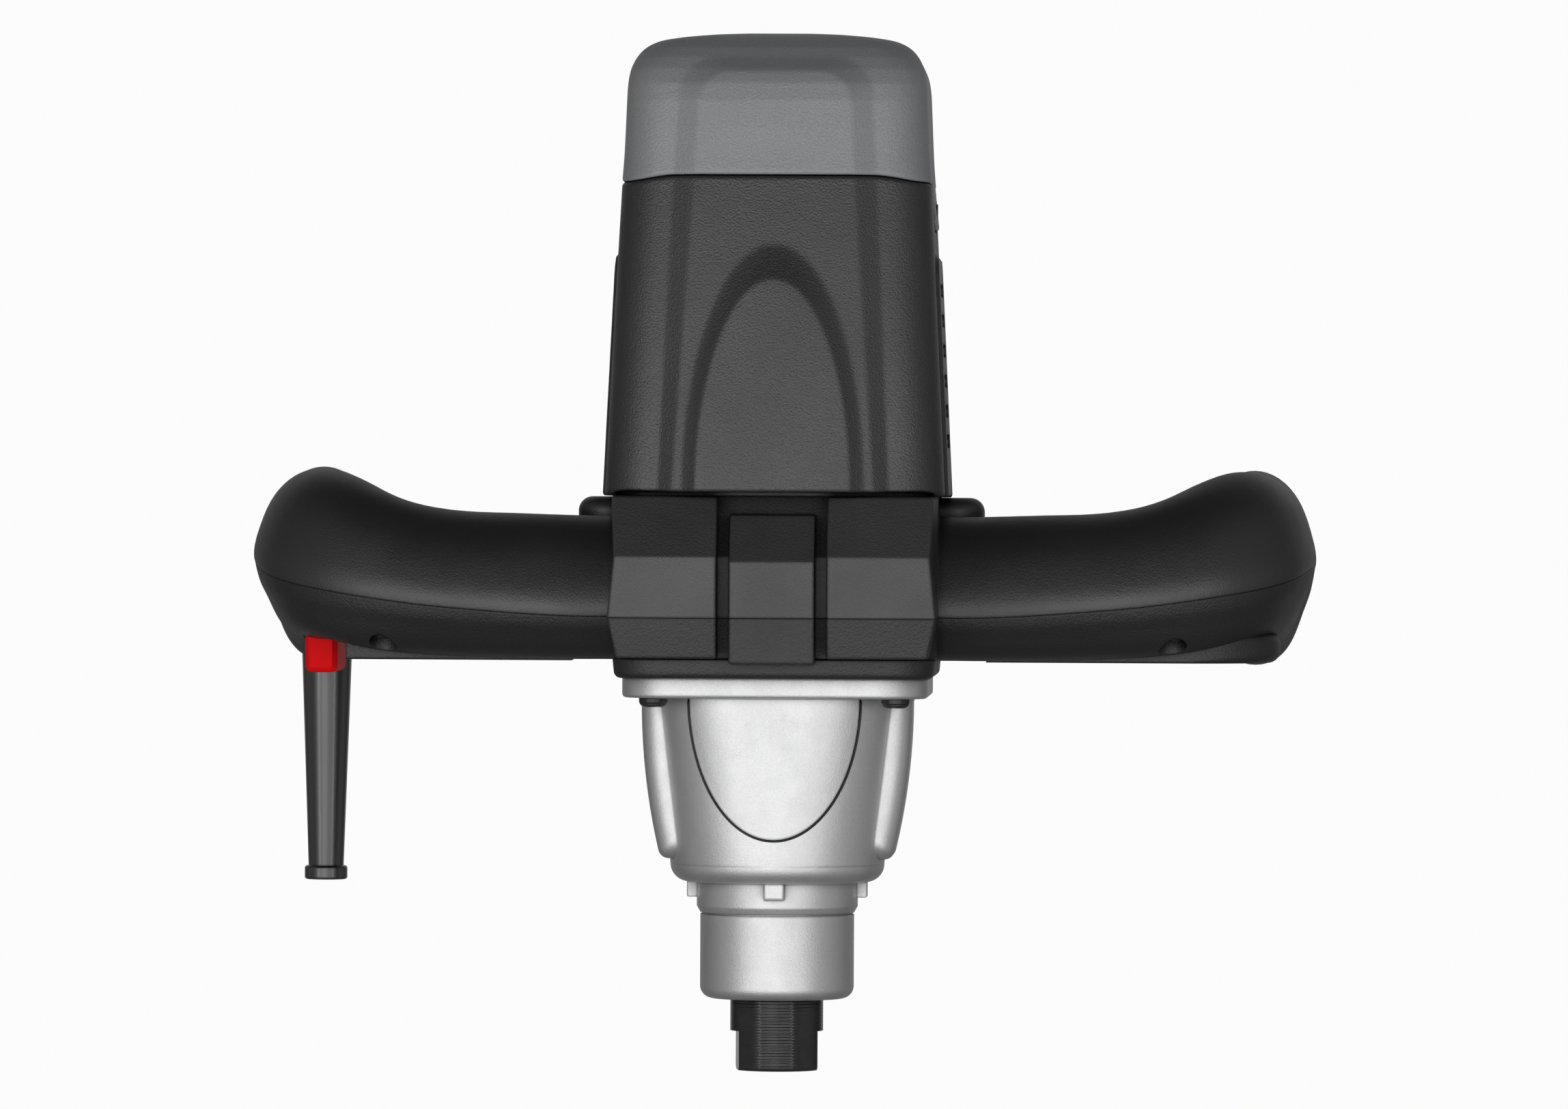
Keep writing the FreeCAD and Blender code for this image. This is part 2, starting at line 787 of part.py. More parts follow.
def make_gear_housing():
    nose = turned(((0, collar_bottom, 0), (collar_radius, collar_bottom, collar_fillet),
                   (collar_radius, collar_top - collar_line_width, 0),
                   (collar_radius - collar_line_depth, collar_top - collar_line_width, 0),
                   (collar_radius - collar_line_depth, collar_top, 0), (collar_radius, collar_top, 0),
                   (neck_radius, neck_bottom, 0),
                   (neck_radius, body_bottom, 0), (body_radius, body_bottom, body_fillet),
                   (body_radius, body_bottom + body_fillet + overrun, 0),
                   (0, body_bottom + body_fillet + overrun, 0)))
    flange = prism(rectangle(flange_half_width, flange_front, flange_back, flange_corner),
                   flange_bottom, flange_top)
    lower_rim = [edge for edge in flange.Edges
                 if abs(edge.BoundBox.ZMax - flange_bottom) < tolerance]
    flange = flange.makeFillet(flange_fillet, lower_rim)
    rib = make_rib()
    bulge = cylinder(bulge_room + bulge_wall, fast_gear_bottom - bulge_drop - bulge_wall, flange_bottom, 0,
                     shaft_distance)
    low_bulge = cylinder(pinion_room + bulge_wall, layshaft_bearing_bottom - bulge_floor, flange_bottom,
                         0, shaft_distance)
    solid = nose.fuse([main_body(0), make_shield(), rib, mirrored_x(rib), bulge, low_bulge, flange])
    for quarter in range(4):
        lug = block(-lug_width / 2, lug_width / 2, -lug_reach, -collar_radius, body_bottom - lug_drop,
                    body_bottom + lug_rise)
        lug = lug.makeFillet(lug_fillet, [edge for edge in lug.Edges if edge.BoundBox.YMax < -lug_reach + tolerance])
        lug.rotate(at(0, 0, 0), at(0, 0, 1), 90 * quarter)
        solid = solid.fuse(lug)
    solid = solid.removeSplitter()
    bore = cylinder(spindle_bearing_outer + seat_clearance, collar_bottom - overrun, upper_bearing_top)
    spindle_hole = cylinder(spindle_bearing_bore + spindle_hole_room, collar_bottom, flange_top)
    pocket = cylinder(layshaft_bearing_outer + seat_clearance, layshaft_bearing_bottom, flange_top, 0,
                      shaft_distance)
    gear_room = cylinder(gear_room_radius, gear_floor, flange_top + overrun)
    pinion_space = cylinder(pinion_room, gear_floor, flange_top, 0, shaft_distance)
    bulge_space = cylinder(bulge_room, fast_gear_bottom - bulge_drop, flange_top, 0, shaft_distance)
    recess = plate_outline(plate_gap, plate_bottom, flange_top + overrun)
    solid = solid.cut([bore, spindle_hole, pocket, gear_room, pinion_space, bulge_space, recess])
    for x, y in clamp_places:
        hole = cylinder(clamp_screw_radius + clamp_hole_extra, flange_bottom - overrun, flange_top + overrun,
                        x, y)
        head_room = cylinder(clamp_head_radius + clamp_head_room, body_bottom, flange_bottom, x, y)
        solid = solid.cut([hole, head_room])
    return solid


def plate_outline(extra, bottom, top):
    front = cylinder(plate_front_radius + extra, bottom, top)
    back = cylinder(plate_back_radius + extra, bottom, top, 0, shaft_distance)
    return front.fuse(back).removeSplitter()


def make_bearing_plate():
    plate = plate_outline(0, plate_bottom, flange_top)
    cup_bottom_height = motor_bearing_bottom - plate_lip
    cup = cylinder(motor_bearing_outer + plate_boss_wall, cup_bottom_height, plate_bottom)
    back_cup = cylinder(layshaft_bearing_outer + plate_boss_wall, layshaft_top_bearing_bottom, plate_bottom,
                        0, shaft_distance)
    solid = plate.fuse([cup, back_cup]).removeSplitter()
    seat = cylinder(motor_bearing_outer + seat_clearance, motor_bearing_bottom, flange_top + overrun)
    hole = cylinder(motor_bearing_bore + plate_hole_room + overrun, cup_bottom_height - overrun, flange_top)
    back_seat = cylinder(layshaft_bearing_outer + seat_clearance, layshaft_top_bearing_bottom - overrun,
                         layshaft_top_bearing_bottom + layshaft_bearing_width, 0, shaft_distance)
    pinion_way = cylinder(fast_pinion_tip + plate_hole_room, layshaft_top_bearing_bottom - overrun, plate_bottom)
    return solid.cut([seat, hole, back_seat, pinion_way])


def make_gear_housing_screws():
    screws = []
    for x, y in clamp_places:
        head = turned(((0, flange_bottom - clamp_head_height, 0),
                       (clamp_head_radius, flange_bottom - clamp_head_height, clamp_head_dome),
                       (clamp_head_radius, flange_bottom, 0), (0, flange_bottom, 0)), x, y)
        shank = cylinder(clamp_screw_radius, flange_bottom, block_top + clamp_reach, x, y)
        socket = cylinder(drive_socket_radius, flange_bottom - clamp_head_height - overrun,
                          flange_bottom - clamp_head_height + drive_socket_depth, x, y)
        screws.append(head.fuse(shank).cut(socket))
    return Part.makeCompound(screws)


# Handle shells

def path_point(distance):
    """Point, heading and outward side of the handle's centreline on the right, at a path distance."""
    if distance <= arm_length:
        return arm_root_x + distance, 0, 0
    turn = min((distance - arm_length) / bend_radius, bend_angle)
    x = bend_start_x + bend_radius * math.sin(turn)
    y = bend_radius * (1 - math.cos(turn))
    straight = max(distance - arm_length - bend_length, 0)
    return x + straight * math.cos(turn), y + straight * math.sin(turn), turn


def handle_stations():
    """Path distance, half-width, bottom, seam and top of each section along the handle."""
    distances = [share * arm_length for share in arm_shares]
    distances += [arm_length + share * bend_length for share in bend_shares]
    distances += [arm_length + bend_length + share * grip_length for share in grip_shares]
    stations = []
    for index, distance in enumerate(distances):
        stations.append((distance, arm_half_depth * station_width_shares[index],
                         arm_bottom + grip_bottom_lift * station_bottom_shares[index],
                         block_seam + grip_seam_lift * station_seam_shares[index],
                         arm_top + grip_lift * station_top_shares[index]))
    return stations


def handle_section(station, inset, upper, drop):
    """Points of a section square to the path: a superellipse arc from seam edge to seam edge.

    Below the seam the arc is drawn in by a share of its depth, which leaves a crease along the seam.
    """
    distance, half_width, bottom, seam, top = station
    x, y, turn = path_point(distance)
    height = top - seam - inset if upper else bottom - seam + inset
    power = upper_power if upper else lower_power
    crease = 0 if upper else crease_share
    base = seam - drop if upper else seam + drop
    points = []
    for step in range(section_steps + 1):
        angle = math.pi * step / section_steps
        depth_share = abs(math.sin(angle)) ** (2 / power)
        width_share = abs(math.cos(angle)) ** (2 / power) - crease * depth_share * (1 - depth_share)
        across = math.copysign((half_width - inset) * width_share, math.cos(angle))
        lift = base if step in (0, section_steps) else seam
        points.append(at(x + across * math.sin(turn), y - across * math.cos(turn), lift + height * depth_share))
    return points


def skinned(rows):
    """Solid between a smooth skin through rows of points and the straight seam between its two edges."""
    surface = Part.BSplineSurface()
    surface.interpolate(rows)
    first_u, last_u, first_v, last_v = surface.bounds()
    seam = Part.makeRuledSurface(surface.vIso(first_v).toShape(), surface.vIso(last_v).toShape())
    faces = [surface.toShape(), seam]
    for side_u, row in ((first_u, rows[0]), (last_u, rows[-1])):
        rim = surface.uIso(side_u).toShape()
        faces.append(Part.Face(Part.Wire([rim, Part.LineSegment(row[-1], row[0]).toShape()])))
    shell = Part.makeCompound(faces)
    shell.sewShape()
    return Part.makeSolid(Part.Shell(shell.Faces))


def handle_side(upper):
    """Outside of the right arm and grip, skinned over its sections, and its faceted inside."""
    stations = handle_stations()
    end = stations[-1]
    outer = [handle_section(station, 0, upper, 0) for station in stations]
    for along_share, size_share in dome_shares:
        middle = end[3]
        shrunk = (end[0] + grip_dome_length * along_share, end[1] * size_share,
                  middle + (end[2] - middle) * size_share, middle, middle + (end[4] - middle) * size_share)
        outer.append(handle_section(shrunk, 0, upper, 0))
    wire_way = (stations[0][0] - wire_way_length,) + stations[0][1:]
    inner = [handle_section(station, shell_wall, upper, overrun) for station in [wire_way] + stations[1:]]
    return skinned(outer), Part.makeLoft([Part.makePolygon(row + row[:1]) for row in inner], True, True)


def pad_profile(front, low_front, top_front, seam, face_height, low_drop, top_drop, inset):
    """Side outline of a faceted pad: lower facet, upright face and a top facet that leans back."""
    return ((0, seam - low_drop, 0), (inset - low_front, seam - low_drop, 0), (inset - front, seam, 0),
            (inset - front, seam + face_height, 0), (inset - top_front, block_top - top_drop, 0),
            (0, block_top - top_drop, 0))


def make_pads():
    """Three faceted pads on the block's front and the faceted ground between them."""
    side_profile = pad_profile(pad_front, pad_low_front, pad_top_front, block_seam, pad_face_height,
                               pad_low_drop, pad_top_drop, 0)
    centre_profile = pad_profile(centre_pad_front, pad_low_front, pad_top_front,
                                 block_seam + centre_seam_rise, centre_pad_face_height, centre_pad_low_drop,
                                 centre_pad_top_drop, 0)
    ground_profile = pad_profile(pad_front, pad_low_front, pad_top_front, block_seam, pad_face_height,
                                 pad_low_drop, pad_top_drop, groove_depth)
    inner_edge = centre_pad_half_width + pad_gap
    face_top = block_seam + pad_face_height
    outline = ((inner_edge, block_seam - pad_low_drop, 0), (pad_bottom_edge, block_seam - pad_low_drop, 0),
               (pad_seam_edge, block_seam, 0), (pad_face_edge, face_top, 0),
               (pad_top_edge, block_top - pad_top_drop, 0), (inner_edge, block_top - pad_top_drop, 0))
    pad = side_prism(side_profile, 0, pad_seam_edge + overrun)
    pad = pad.common(front_prism(outline, -pad_front - overrun, overrun))
    pad = softened(pad)
    centre = softened(side_prism(centre_profile, -centre_pad_half_width, centre_pad_half_width))
    ground = side_prism(ground_profile, -pad_bottom_edge, pad_bottom_edge)
    return [pad, mirrored_x(pad), centre, ground]


def softened(pad):
    """Pad with every edge rounded, apart from those of its buried back."""
    return pad.makeFillet(pad_fillet, [edge for edge in pad.Edges if edge.BoundBox.YMin < -tolerance])


def make_block():
    """Solid block with its pads and shoulders, before it is split along the seam."""
    band = tapered(rectangle_wire(band_half_width, block_front, block_back, block_corner, flange_top),
                   rectangle_wire(block_half_width, block_front + overrun, block_back, block_corner,
                                  flange_top + band_height))
    foot = [edge for edge in band.Edges if edge.BoundBox.ZMax < flange_top + tolerance]
    band = band.makeFillet(band_fillet, foot)
    core = prism(rectangle(block_half_width, core_front, block_back, block_corner),
                 flange_top + band_height, block_top)
    shoulder_low = tapered(rectangle_wire(shoulder_bottom_half_width, shoulder_front, shoulder_back,
                                          shoulder_corner, flange_top + shoulder_rise),
                           rectangle_wire(shoulder_half_width, shoulder_front, shoulder_back,
                                          shoulder_corner, block_seam))
    shoulder_high = prism(rectangle(shoulder_half_width, shoulder_front, shoulder_back, shoulder_corner),
                          block_seam, block_top - shoulder_drop)
    rim = [edge for edge in shoulder_high.Edges
           if edge.BoundBox.ZMin > block_top - shoulder_drop - tolerance]
    shoulder_high = shoulder_high.makeFillet(shoulder_fillet, rim)
    return band.fuse([core, shoulder_low, shoulder_high] + make_pads()).removeSplitter()


def block_cuts():
    """Fan bore, floor hole, clamp screw holes and the exhaust slots in the rear wall."""
    cuts = [cylinder(block_bore_radius, flange_top + block_floor, block_top + overrun),
            cylinder(block_floor_hole, flange_top - overrun, block_top)]
    for x, y in clamp_places:
        cuts.append(cylinder(clamp_screw_radius + clamp_hole_extra, flange_top - overrun, block_top + overrun,
                             x, y))
    for slot in range(exhaust_slots):
        x = (slot - (exhaust_slots - 1) / 2) * exhaust_slot_pitch
        bottom = flange_top + exhaust_slot_rise
        cuts.append(block(x - exhaust_slot_width / 2, x + exhaust_slot_width / 2, exhaust_slot_start,
                          block_back + overrun, bottom, bottom + exhaust_slot_height))
    return cuts


def handle_screw_places():
    """Both screws of each side: under the elbow and near the end of the grip."""
    x, y, turn = path_point(arm_length + bend_length + grip_screw_share * grip_length)
    return [(side * place_x, place_y) for side in (-1, 1)
            for place_x, place_y in ((handle_screw_x, handle_screw_y), (x, y))]


def well_top():
    return arm_bottom + handle_well_depth


def screw_top():
    return block_seam + grip_seam_lift + handle_screw_reach


def half_space(upper):
    reach = bend_start_x + bend_radius + arm_half_depth
    if upper:
        return block(-reach, reach, -reach, reach, block_seam, block_top + overrun)
    return block(-reach, reach, -reach, reach, flange_top - overrun, block_seam - parting_gap)


def handle_shell(upper, outer, inner):
    """One half of the handle: the block, both hollow arms and the screw columns, less all cuts."""
    solid = handle_block.common(half_space(upper))
    solid = solid.fuse([outer, mirrored_x(outer)])
    solid = solid.cut([inner, mirrored_x(inner)])
    columns = []
    for x, y in handle_screw_places():
        column = cylinder(handle_boss_radius, flange_top, block_top + grip_lift, x, y)
        columns.append(column.common(outer if x > 0 else mirrored_x(outer)))
    solid = solid.fuse(columns)
    return solid.cut(block_cuts())


handle_block = make_block()


def make_handle_upper_shell():
    outer, inner = handle_side(True)
    solid = handle_shell(True, outer, inner)
    for x, y in handle_screw_places():
        solid = solid.cut(cylinder(handle_screw_radius + screw_clearance, block_seam - overrun, screw_top(),
                                   x, y))
    lock_z = block_seam + grip_seam_lift + lock_rise
    hole = rod_x(lock_radius + moving_gap, trigger_x, lock_wall_x + lock_proud + lock_depth, lock_y, lock_z)
    return solid.cut(hole)


def make_handle_lower_shell():
    outer, inner = handle_side(False)
    outer.translate(at(0, 0, -parting_gap))
    inner.translate(at(0, 0, -parting_gap))
    solid = handle_shell(False, outer, inner)
    left_outer = mirrored_x(outer)
    posts = []
    post_ends = (switch_front, switch_front + switch_length - switch_post_length)
    for front in post_ends:
        posts.append(block(trigger_x - switch_post_width / 2, trigger_x + switch_post_width / 2, front,
                           front + switch_post_length, arm_bottom, switch_bottom()))
    for side in (-1, 1):
        posts.append(cylinder(clamp_post_radius, arm_bottom, clamp_bar_bottom(),
                              cable_x + side * clamp_post_offset, clamp_bar_y))
    posts.append(cylinder(relief_flange_radius + relief_boss_wall, arm_bottom, relief_seat(), cable_x, cable_y))
    solid = solid.fuse([post.common(left_outer) for post in posts])
    for x, y in handle_screw_places():
        well = cylinder(handle_well_radius, flange_top - overrun, well_top(), x, y)
        hole = cylinder(handle_screw_radius + screw_clearance, flange_top, block_top + grip_lift, x, y)
        solid = solid.cut([well, hole])
    for side in (-1, 1):
        solid = solid.cut(cylinder(cable_screw_radius + screw_clearance, grip_floor, block_top,
                                   cable_x + side * clamp_post_offset, clamp_bar_y))
    slot = block(trigger_x - trigger_width / 2 - moving_gap, trigger_x + trigger_width / 2 + moving_gap,
                 trigger_front - moving_gap, trigger_front + trigger_length + moving_gap,
                 flange_top - overrun, trigger_flange_bottom())
    room = block(trigger_x - trigger_width / 2 - trigger_flange - moving_gap,
                 trigger_x + trigger_width / 2 + trigger_flange + moving_gap,
                 trigger_front - trigger_flange - moving_gap,
                 trigger_front + trigger_length + trigger_flange + moving_gap,
                 trigger_flange_bottom() - moving_gap, switch_bottom())
    relief_hole = cylinder(relief_top_radius + relief_seat_gap, flange_top - overrun, relief_seat() + overrun,
                           cable_x, cable_y)
    relief_room = cylinder(relief_flange_radius + relief_seat_gap, relief_seat(), block_top, cable_x, cable_y)
    return solid.cut([slot, room, relief_hole, relief_room])


def make_handle_screws():
    screws = []
    for x, y in handle_screw_places():
        head_top = well_top()
        head = cylinder(handle_head_radius, head_top - handle_head_height, head_top, x, y)
        shank = cylinder(handle_screw_radius, head_top, screw_top() - overrun, x, y)
        socket = cylinder(drive_socket_radius, head_top - handle_head_height - overrun,
                          head_top - handle_head_height / 2, x, y)
        screws.append(head.fuse(shank).cut(socket))
    return Part.makeCompound(screws)


# Trigger, switch, lock button and cable entry

def trigger_flange_bottom():
    return trigger_floor


def trigger_flange_top():
    return trigger_flange_bottom() + trigger_flange_height


def switch_bottom():
    return trigger_flange_top() + trigger_travel + switch_gap


def make_trigger():
    lowest = arm_bottom - trigger_drop
    half_width = trigger_width / 2
    back = trigger_front + trigger_length
    outline = ((trigger_x - half_width, lowest, trigger_corner), (trigger_x + half_width, lowest, trigger_corner),
               (trigger_x + half_width, trigger_flange_bottom() + overrun, 0),
               (trigger_x - half_width, trigger_flange_bottom() + overrun, 0))
    shoe = front_prism(outline, trigger_front, back)
    end_edges = [edge for edge in shoe.Edges
                 if edge.BoundBox.ZMax < lowest + tolerance and edge.BoundBox.YLength < tolerance]
    shoe = shoe.makeFillet(trigger_end_corner, end_edges)
    flange = block(trigger_x - half_width - trigger_flange, trigger_x + half_width + trigger_flange,
                   trigger_front - trigger_flange, back + trigger_flange,
                   trigger_flange_bottom(), trigger_flange_top())
    pad = front_prism(((trigger_x - half_width + trigger_pad_inset, lowest + trigger_pad_inset, trigger_pad_height),
                       (trigger_x + half_width - trigger_pad_inset, lowest + trigger_pad_inset,
                        trigger_pad_height),
                       (trigger_x + half_width - trigger_pad_inset, trigger_floor - overrun, 0),
                       (trigger_x - half_width + trigger_pad_inset, trigger_floor - overrun, 0)),
                      trigger_front - trigger_pad_proud, back)
    post_top = trigger_flange_top() + switch_gap / 2
    middle = trigger_front + trigger_length / 2
    post = block(trigger_x - trigger_post_width / 2, trigger_x + trigger_post_width / 2,
                 middle - trigger_post_width / 2, middle + trigger_post_width / 2, trigger_flange_top(), post_top)
    return shoe.fuse([flange, pad, post]).removeSplitter()


def make_switch_module():
    half_width = switch_width / 2
    body = block(trigger_x - half_width, trigger_x + half_width, switch_front, switch_front + switch_length,
                 switch_bottom(), switch_bottom() + switch_height)
    long_edges = [edge for edge in body.Edges if edge.BoundBox.YLength > switch_length - tolerance]
    return body.makeFillet(switch_post_length / 2, long_edges)


def make_lock_button():
    lock_z = block_seam + grip_seam_lift + lock_rise
    inner_end = lock_wall_x - lock_depth
    stem = rod_x(lock_radius, inner_end, lock_wall_x + lock_proud, lock_y, lock_z)
    face_edges = [edge for edge in stem.Edges
                  if edge.BoundBox.XMin > lock_wall_x + lock_proud - tolerance]
    flange = rod_x(lock_flange_radius, inner_end, inner_end + lock_flange_thickness, lock_y, lock_z)
    return stem.makeFillet(lock_edge_fillet, face_edges).fuse(flange).removeSplitter()


def relief_seat():
    return grip_floor + relief_flange_rise


def make_strain_relief():
    bottom = arm_bottom - relief_length
    shoulder = relief_seat()
    top = shoulder + relief_flange_thickness
    profile = ((cable_bore, bottom, 0), (relief_end_radius, bottom, relief_end_corner),
               (relief_end_radius, bottom + relief_end_length, relief_end_corner),
               (relief_bottom_radius, bottom + relief_end_length, 0), (relief_top_radius, arm_bottom, 0),
               (relief_top_radius, shoulder, 0), (relief_flange_radius, shoulder, 0),
               (relief_flange_radius, top, 0), (cable_bore, top, 0))
    return turned(profile, cable_x, cable_y)


def clamp_bar_bottom():
    return grip_floor + clamp_post_height


def make_cable_clamp():
    bar = block(cable_x - clamp_bar_half_length, cable_x + clamp_bar_half_length,
                clamp_bar_y - clamp_bar_depth / 2, clamp_bar_y + clamp_bar_depth / 2,
                clamp_bar_bottom(), clamp_bar_bottom() + clamp_bar_thickness)
    saddle = Part.makeCylinder(cable_bore, clamp_bar_depth + 2 * overrun,
                               at(cable_x, clamp_bar_y - clamp_bar_depth / 2 - overrun,
                                  clamp_bar_bottom() - cable_bore / 2), at(0, 1, 0))
    bar = bar.cut(saddle)
    for side in (-1, 1):
        bar = bar.cut(cylinder(cable_screw_radius + screw_clearance, clamp_bar_bottom() - overrun,
                               clamp_bar_bottom() + clamp_bar_thickness + overrun,
                               cable_x + side * clamp_post_offset, clamp_bar_y))
    return bar


def make_cable_clamp_screws():
    screws = []
    bar_top = clamp_bar_bottom() + clamp_bar_thickness
    for side in (-1, 1):
        x = cable_x + side * clamp_post_offset
        shank = cylinder(cable_screw_radius, grip_floor + screw_clearance, bar_top, x, clamp_bar_y)
        head = cylinder(cable_screw_head_radius, bar_top, bar_top + cable_screw_head_height, x, clamp_bar_y)
        screws.append(shank.fuse(head))
    return Part.makeCompound(screws)


# Motor housing and cap

def housing_size(height, bottom_size, top_size):
    """Half-size of the drafted motor housing at a height."""
    return bottom_size + (top_size - bottom_size) * (height - block_top) / housing_height


def housing_wire(height, inset):
    half_width = housing_size(height, housing_bottom_half_width, housing_top_half_width) - inset
    half_depth = housing_size(height, housing_bottom_half_depth, housing_top_half_depth) - inset
    return rectangle_wire(half_width, half_depth, half_depth, housing_corner - inset, height)


def housing_solid(inset, bottom, top):
    return tapered(housing_wire(bottom, inset), housing_wire(top, inset))


def front_lean():
    """Angle by which the housing's front face leans back, in degrees."""
    return math.degrees(math.atan2(housing_bottom_half_depth - housing_top_half_depth, housing_height))


def on_front(wire, proud):
    """Lay an outline of (x, height over the housing's bottom) on the leaning front face."""
    wire.rotate(at(0, 0, 0), at(1, 0, 0), 90 - front_lean())
    wire.translate(at(0, -housing_bottom_half_depth - proud, block_top))
    return wire


def front_panel():
    """Raised panel on the front of housing and cap: sloped sides and a rounded top edge."""
    top = housing_height + cap_height - panel_top_drop

    def outline(bottom, seam, upper, height, corner):
        return rounded_wire(((-bottom, 0, 0), (bottom, 0, 0), (seam, housing_height, 0), (upper, height, corner),
                             (-upper, height, corner), (-seam, housing_height, 0)))

    base = outline(panel_bottom_outer, panel_seam_outer, panel_top_outer, top + panel_top_band,
                   panel_top_corner + panel_top_band / 2)
    face = outline(panel_bottom_inner, panel_seam_inner, panel_top_inner, top, panel_top_corner)
    root = on_front(base.copy(), -panel_sink)
    return Part.makeLoft([root, on_front(base, 0), on_front(face, panel_proud)], True, True)


def front_arch():
    """Raised tongue with an arched top on the housing's front panel."""

    def outline(half_width, height):
        ellipse = Part.Ellipse(at(0, height, 0), at(half_width, 0, 0), at(0, 0, 0))
        arc = Part.Arc(ellipse, -math.pi / 2, math.pi / 2).toShape()
        line = Part.LineSegment(at(-half_width, 0, 0), at(half_width, 0, 0)).toShape()
        return Part.Wire(Part.__sortEdges__([arc, line]))

    base = outline(arch_outer_half_width, arch_outer_height)
    face = outline(arch_inner_half_width, arch_inner_height)
    root = on_front(base.copy(), panel_proud - panel_sink)
    return Part.makeLoft([root, on_front(base, panel_proud), on_front(face, panel_proud + arch_proud)], True, True)


def side_panel():
    """Raised vent panel on the right side of the housing."""
    top = block_top + side_panel_height
    outline = ((-side_panel_half_depth, block_top, 0), (side_panel_half_depth, block_top, 0),
               (side_panel_half_depth, top, side_panel_corner), (-side_panel_half_depth, top, side_panel_corner))
    reach = side_prism(outline, housing_top_half_width - housing_wall, shoulder_half_width)
    return housing_solid(-side_panel_proud, block_top, housing_top).common(reach)


def skirt_reach(extra):
    """Space of the cap's tongue on the right side, from the side outline."""
    outline = ((-skirt_half_depth - extra, housing_top - skirt_drop - extra, skirt_corner),
               (skirt_half_depth + extra, housing_top - skirt_drop - extra, skirt_corner),
               (skirt_half_depth + extra, housing_top + overrun, 0),
               (-skirt_half_depth - extra, housing_top + overrun, 0))
    return side_prism(outline, housing_top_half_width / 2, shoulder_half_width)


def skirt_height():
    return housing_top - skirt_drop * cap_screw_share


def skirt_outer():
    return housing_size(skirt_height(), housing_bottom_half_width, housing_top_half_width) + skirt_proud


def make_motor_housing():
    outer = housing_solid(0, block_top, housing_top)
    inner = housing_solid(housing_wall, block_top - overrun, housing_top + overrun)
    panel = side_panel()
    front = front_panel().fuse(front_arch()).common(block(-shoulder_half_width, shoulder_half_width,
                                                          -cap_top, 0, block_top, housing_top))
    solid = outer.fuse([panel, mirrored_x(panel), front]).cut(inner)
    inside = housing_solid(housing_wall / 2, block_top, housing_top)
    fittings = []
    for rib in range(stator_ribs):
        plate = block(stator_radius + seat_clearance, cap_top, -stator_rib_thickness / 2,
                      stator_rib_thickness / 2, stator_bottom(), stator_bottom() + stator_length)
        plate.rotate(at(0, 0, 0), at(0, 0, 1), 360 * rib / stator_ribs)
        fittings.append(plate.common(inside))
    for x, y in clamp_places:
        fittings.append(cylinder(clamp_boss_radius, block_top, block_top + clamp_reach + clamp_boss_extra, x, y))
    for x, y in bridge_screw_places():
        fittings.append(cylinder(bridge_boss_radius, bridge_bottom - bridge_screw_reach - overrun, bridge_bottom,
                                 x, y))
    ledge = housing_solid(housing_wall / 2, bridge_bottom - ledge_height, bridge_bottom)
    ledge = ledge.cut(housing_solid(2 * housing_wall, bridge_bottom - ledge_height - overrun,
                                    bridge_bottom + overrun))
    for side in (-1, 1):
        x = side * (skirt_outer() - skirt_thickness)
        boss = rod_x(cap_boss_radius, min(x, x - side * cap_boss_length), max(x, x - side * cap_boss_length), 0,
                     skirt_height())
        fittings.append(boss.common(inside))
    solid = solid.fuse(fittings + [ledge]).removeSplitter()
    cuts = []
    skirt_floor = housing_solid(skirt_thickness - skirt_proud, block_top, housing_top + overrun)
    pocket = skirt_reach(seat_clearance).cut(skirt_floor)
    cuts += [pocket, mirrored_x(pocket)]
    for x, y in clamp_places:
        cuts.append(cylinder(clamp_screw_radius + screw_clearance, block_top - overrun,
                             block_top + clamp_reach + screw_clearance, x, y))
    for x, y in bridge_screw_places():
        cuts.append(cylinder(bridge_screw_radius + screw_clearance, bridge_bottom - bridge_screw_reach,
                             bridge_bottom + overrun, x, y))
    cuts.append(rod_x(cap_screw_radius + screw_clearance, -shoulder_half_width, shoulder_half_width, 0,
                      skirt_height()).cut(block(-core_radius, core_radius, -cap_top, cap_top, 0, cap_top)))
    for slot in range(vent_slots):
        bottom = block_top + vent_slot_rise + slot * vent_slot_pitch
        for side in (-1, 1):
            inner_x = side * (stator_radius + stator_rib_thickness)
            outer_x = side * shoulder_half_width
            cuts.append(block(min(inner_x, outer_x), max(inner_x, outer_x), -vent_slot_half_depth,
                              vent_slot_half_depth, bottom, bottom + vent_slot_height))
    return solid.cut(cuts)


def stator_bottom():
    return core_bottom - (stator_length - core_length) / 2


def cap_profile(inset):
    """Cap as a smooth loft of rounded rectangles that close to a crowned top."""
    sections = []
    for rise_share, size_share in zip(cap_rise_shares, cap_size_shares):
        half_width = (housing_top_half_width - inset) * size_share
        half_depth = (housing_top_half_depth - inset) * size_share
        sections.append(rectangle_wire(half_width, half_depth, half_depth, (housing_corner - inset) * size_share,
                                       housing_top + (cap_height - inset) * rise_share))
    return Part.makeLoft(sections, True, False, False, loft_degree)


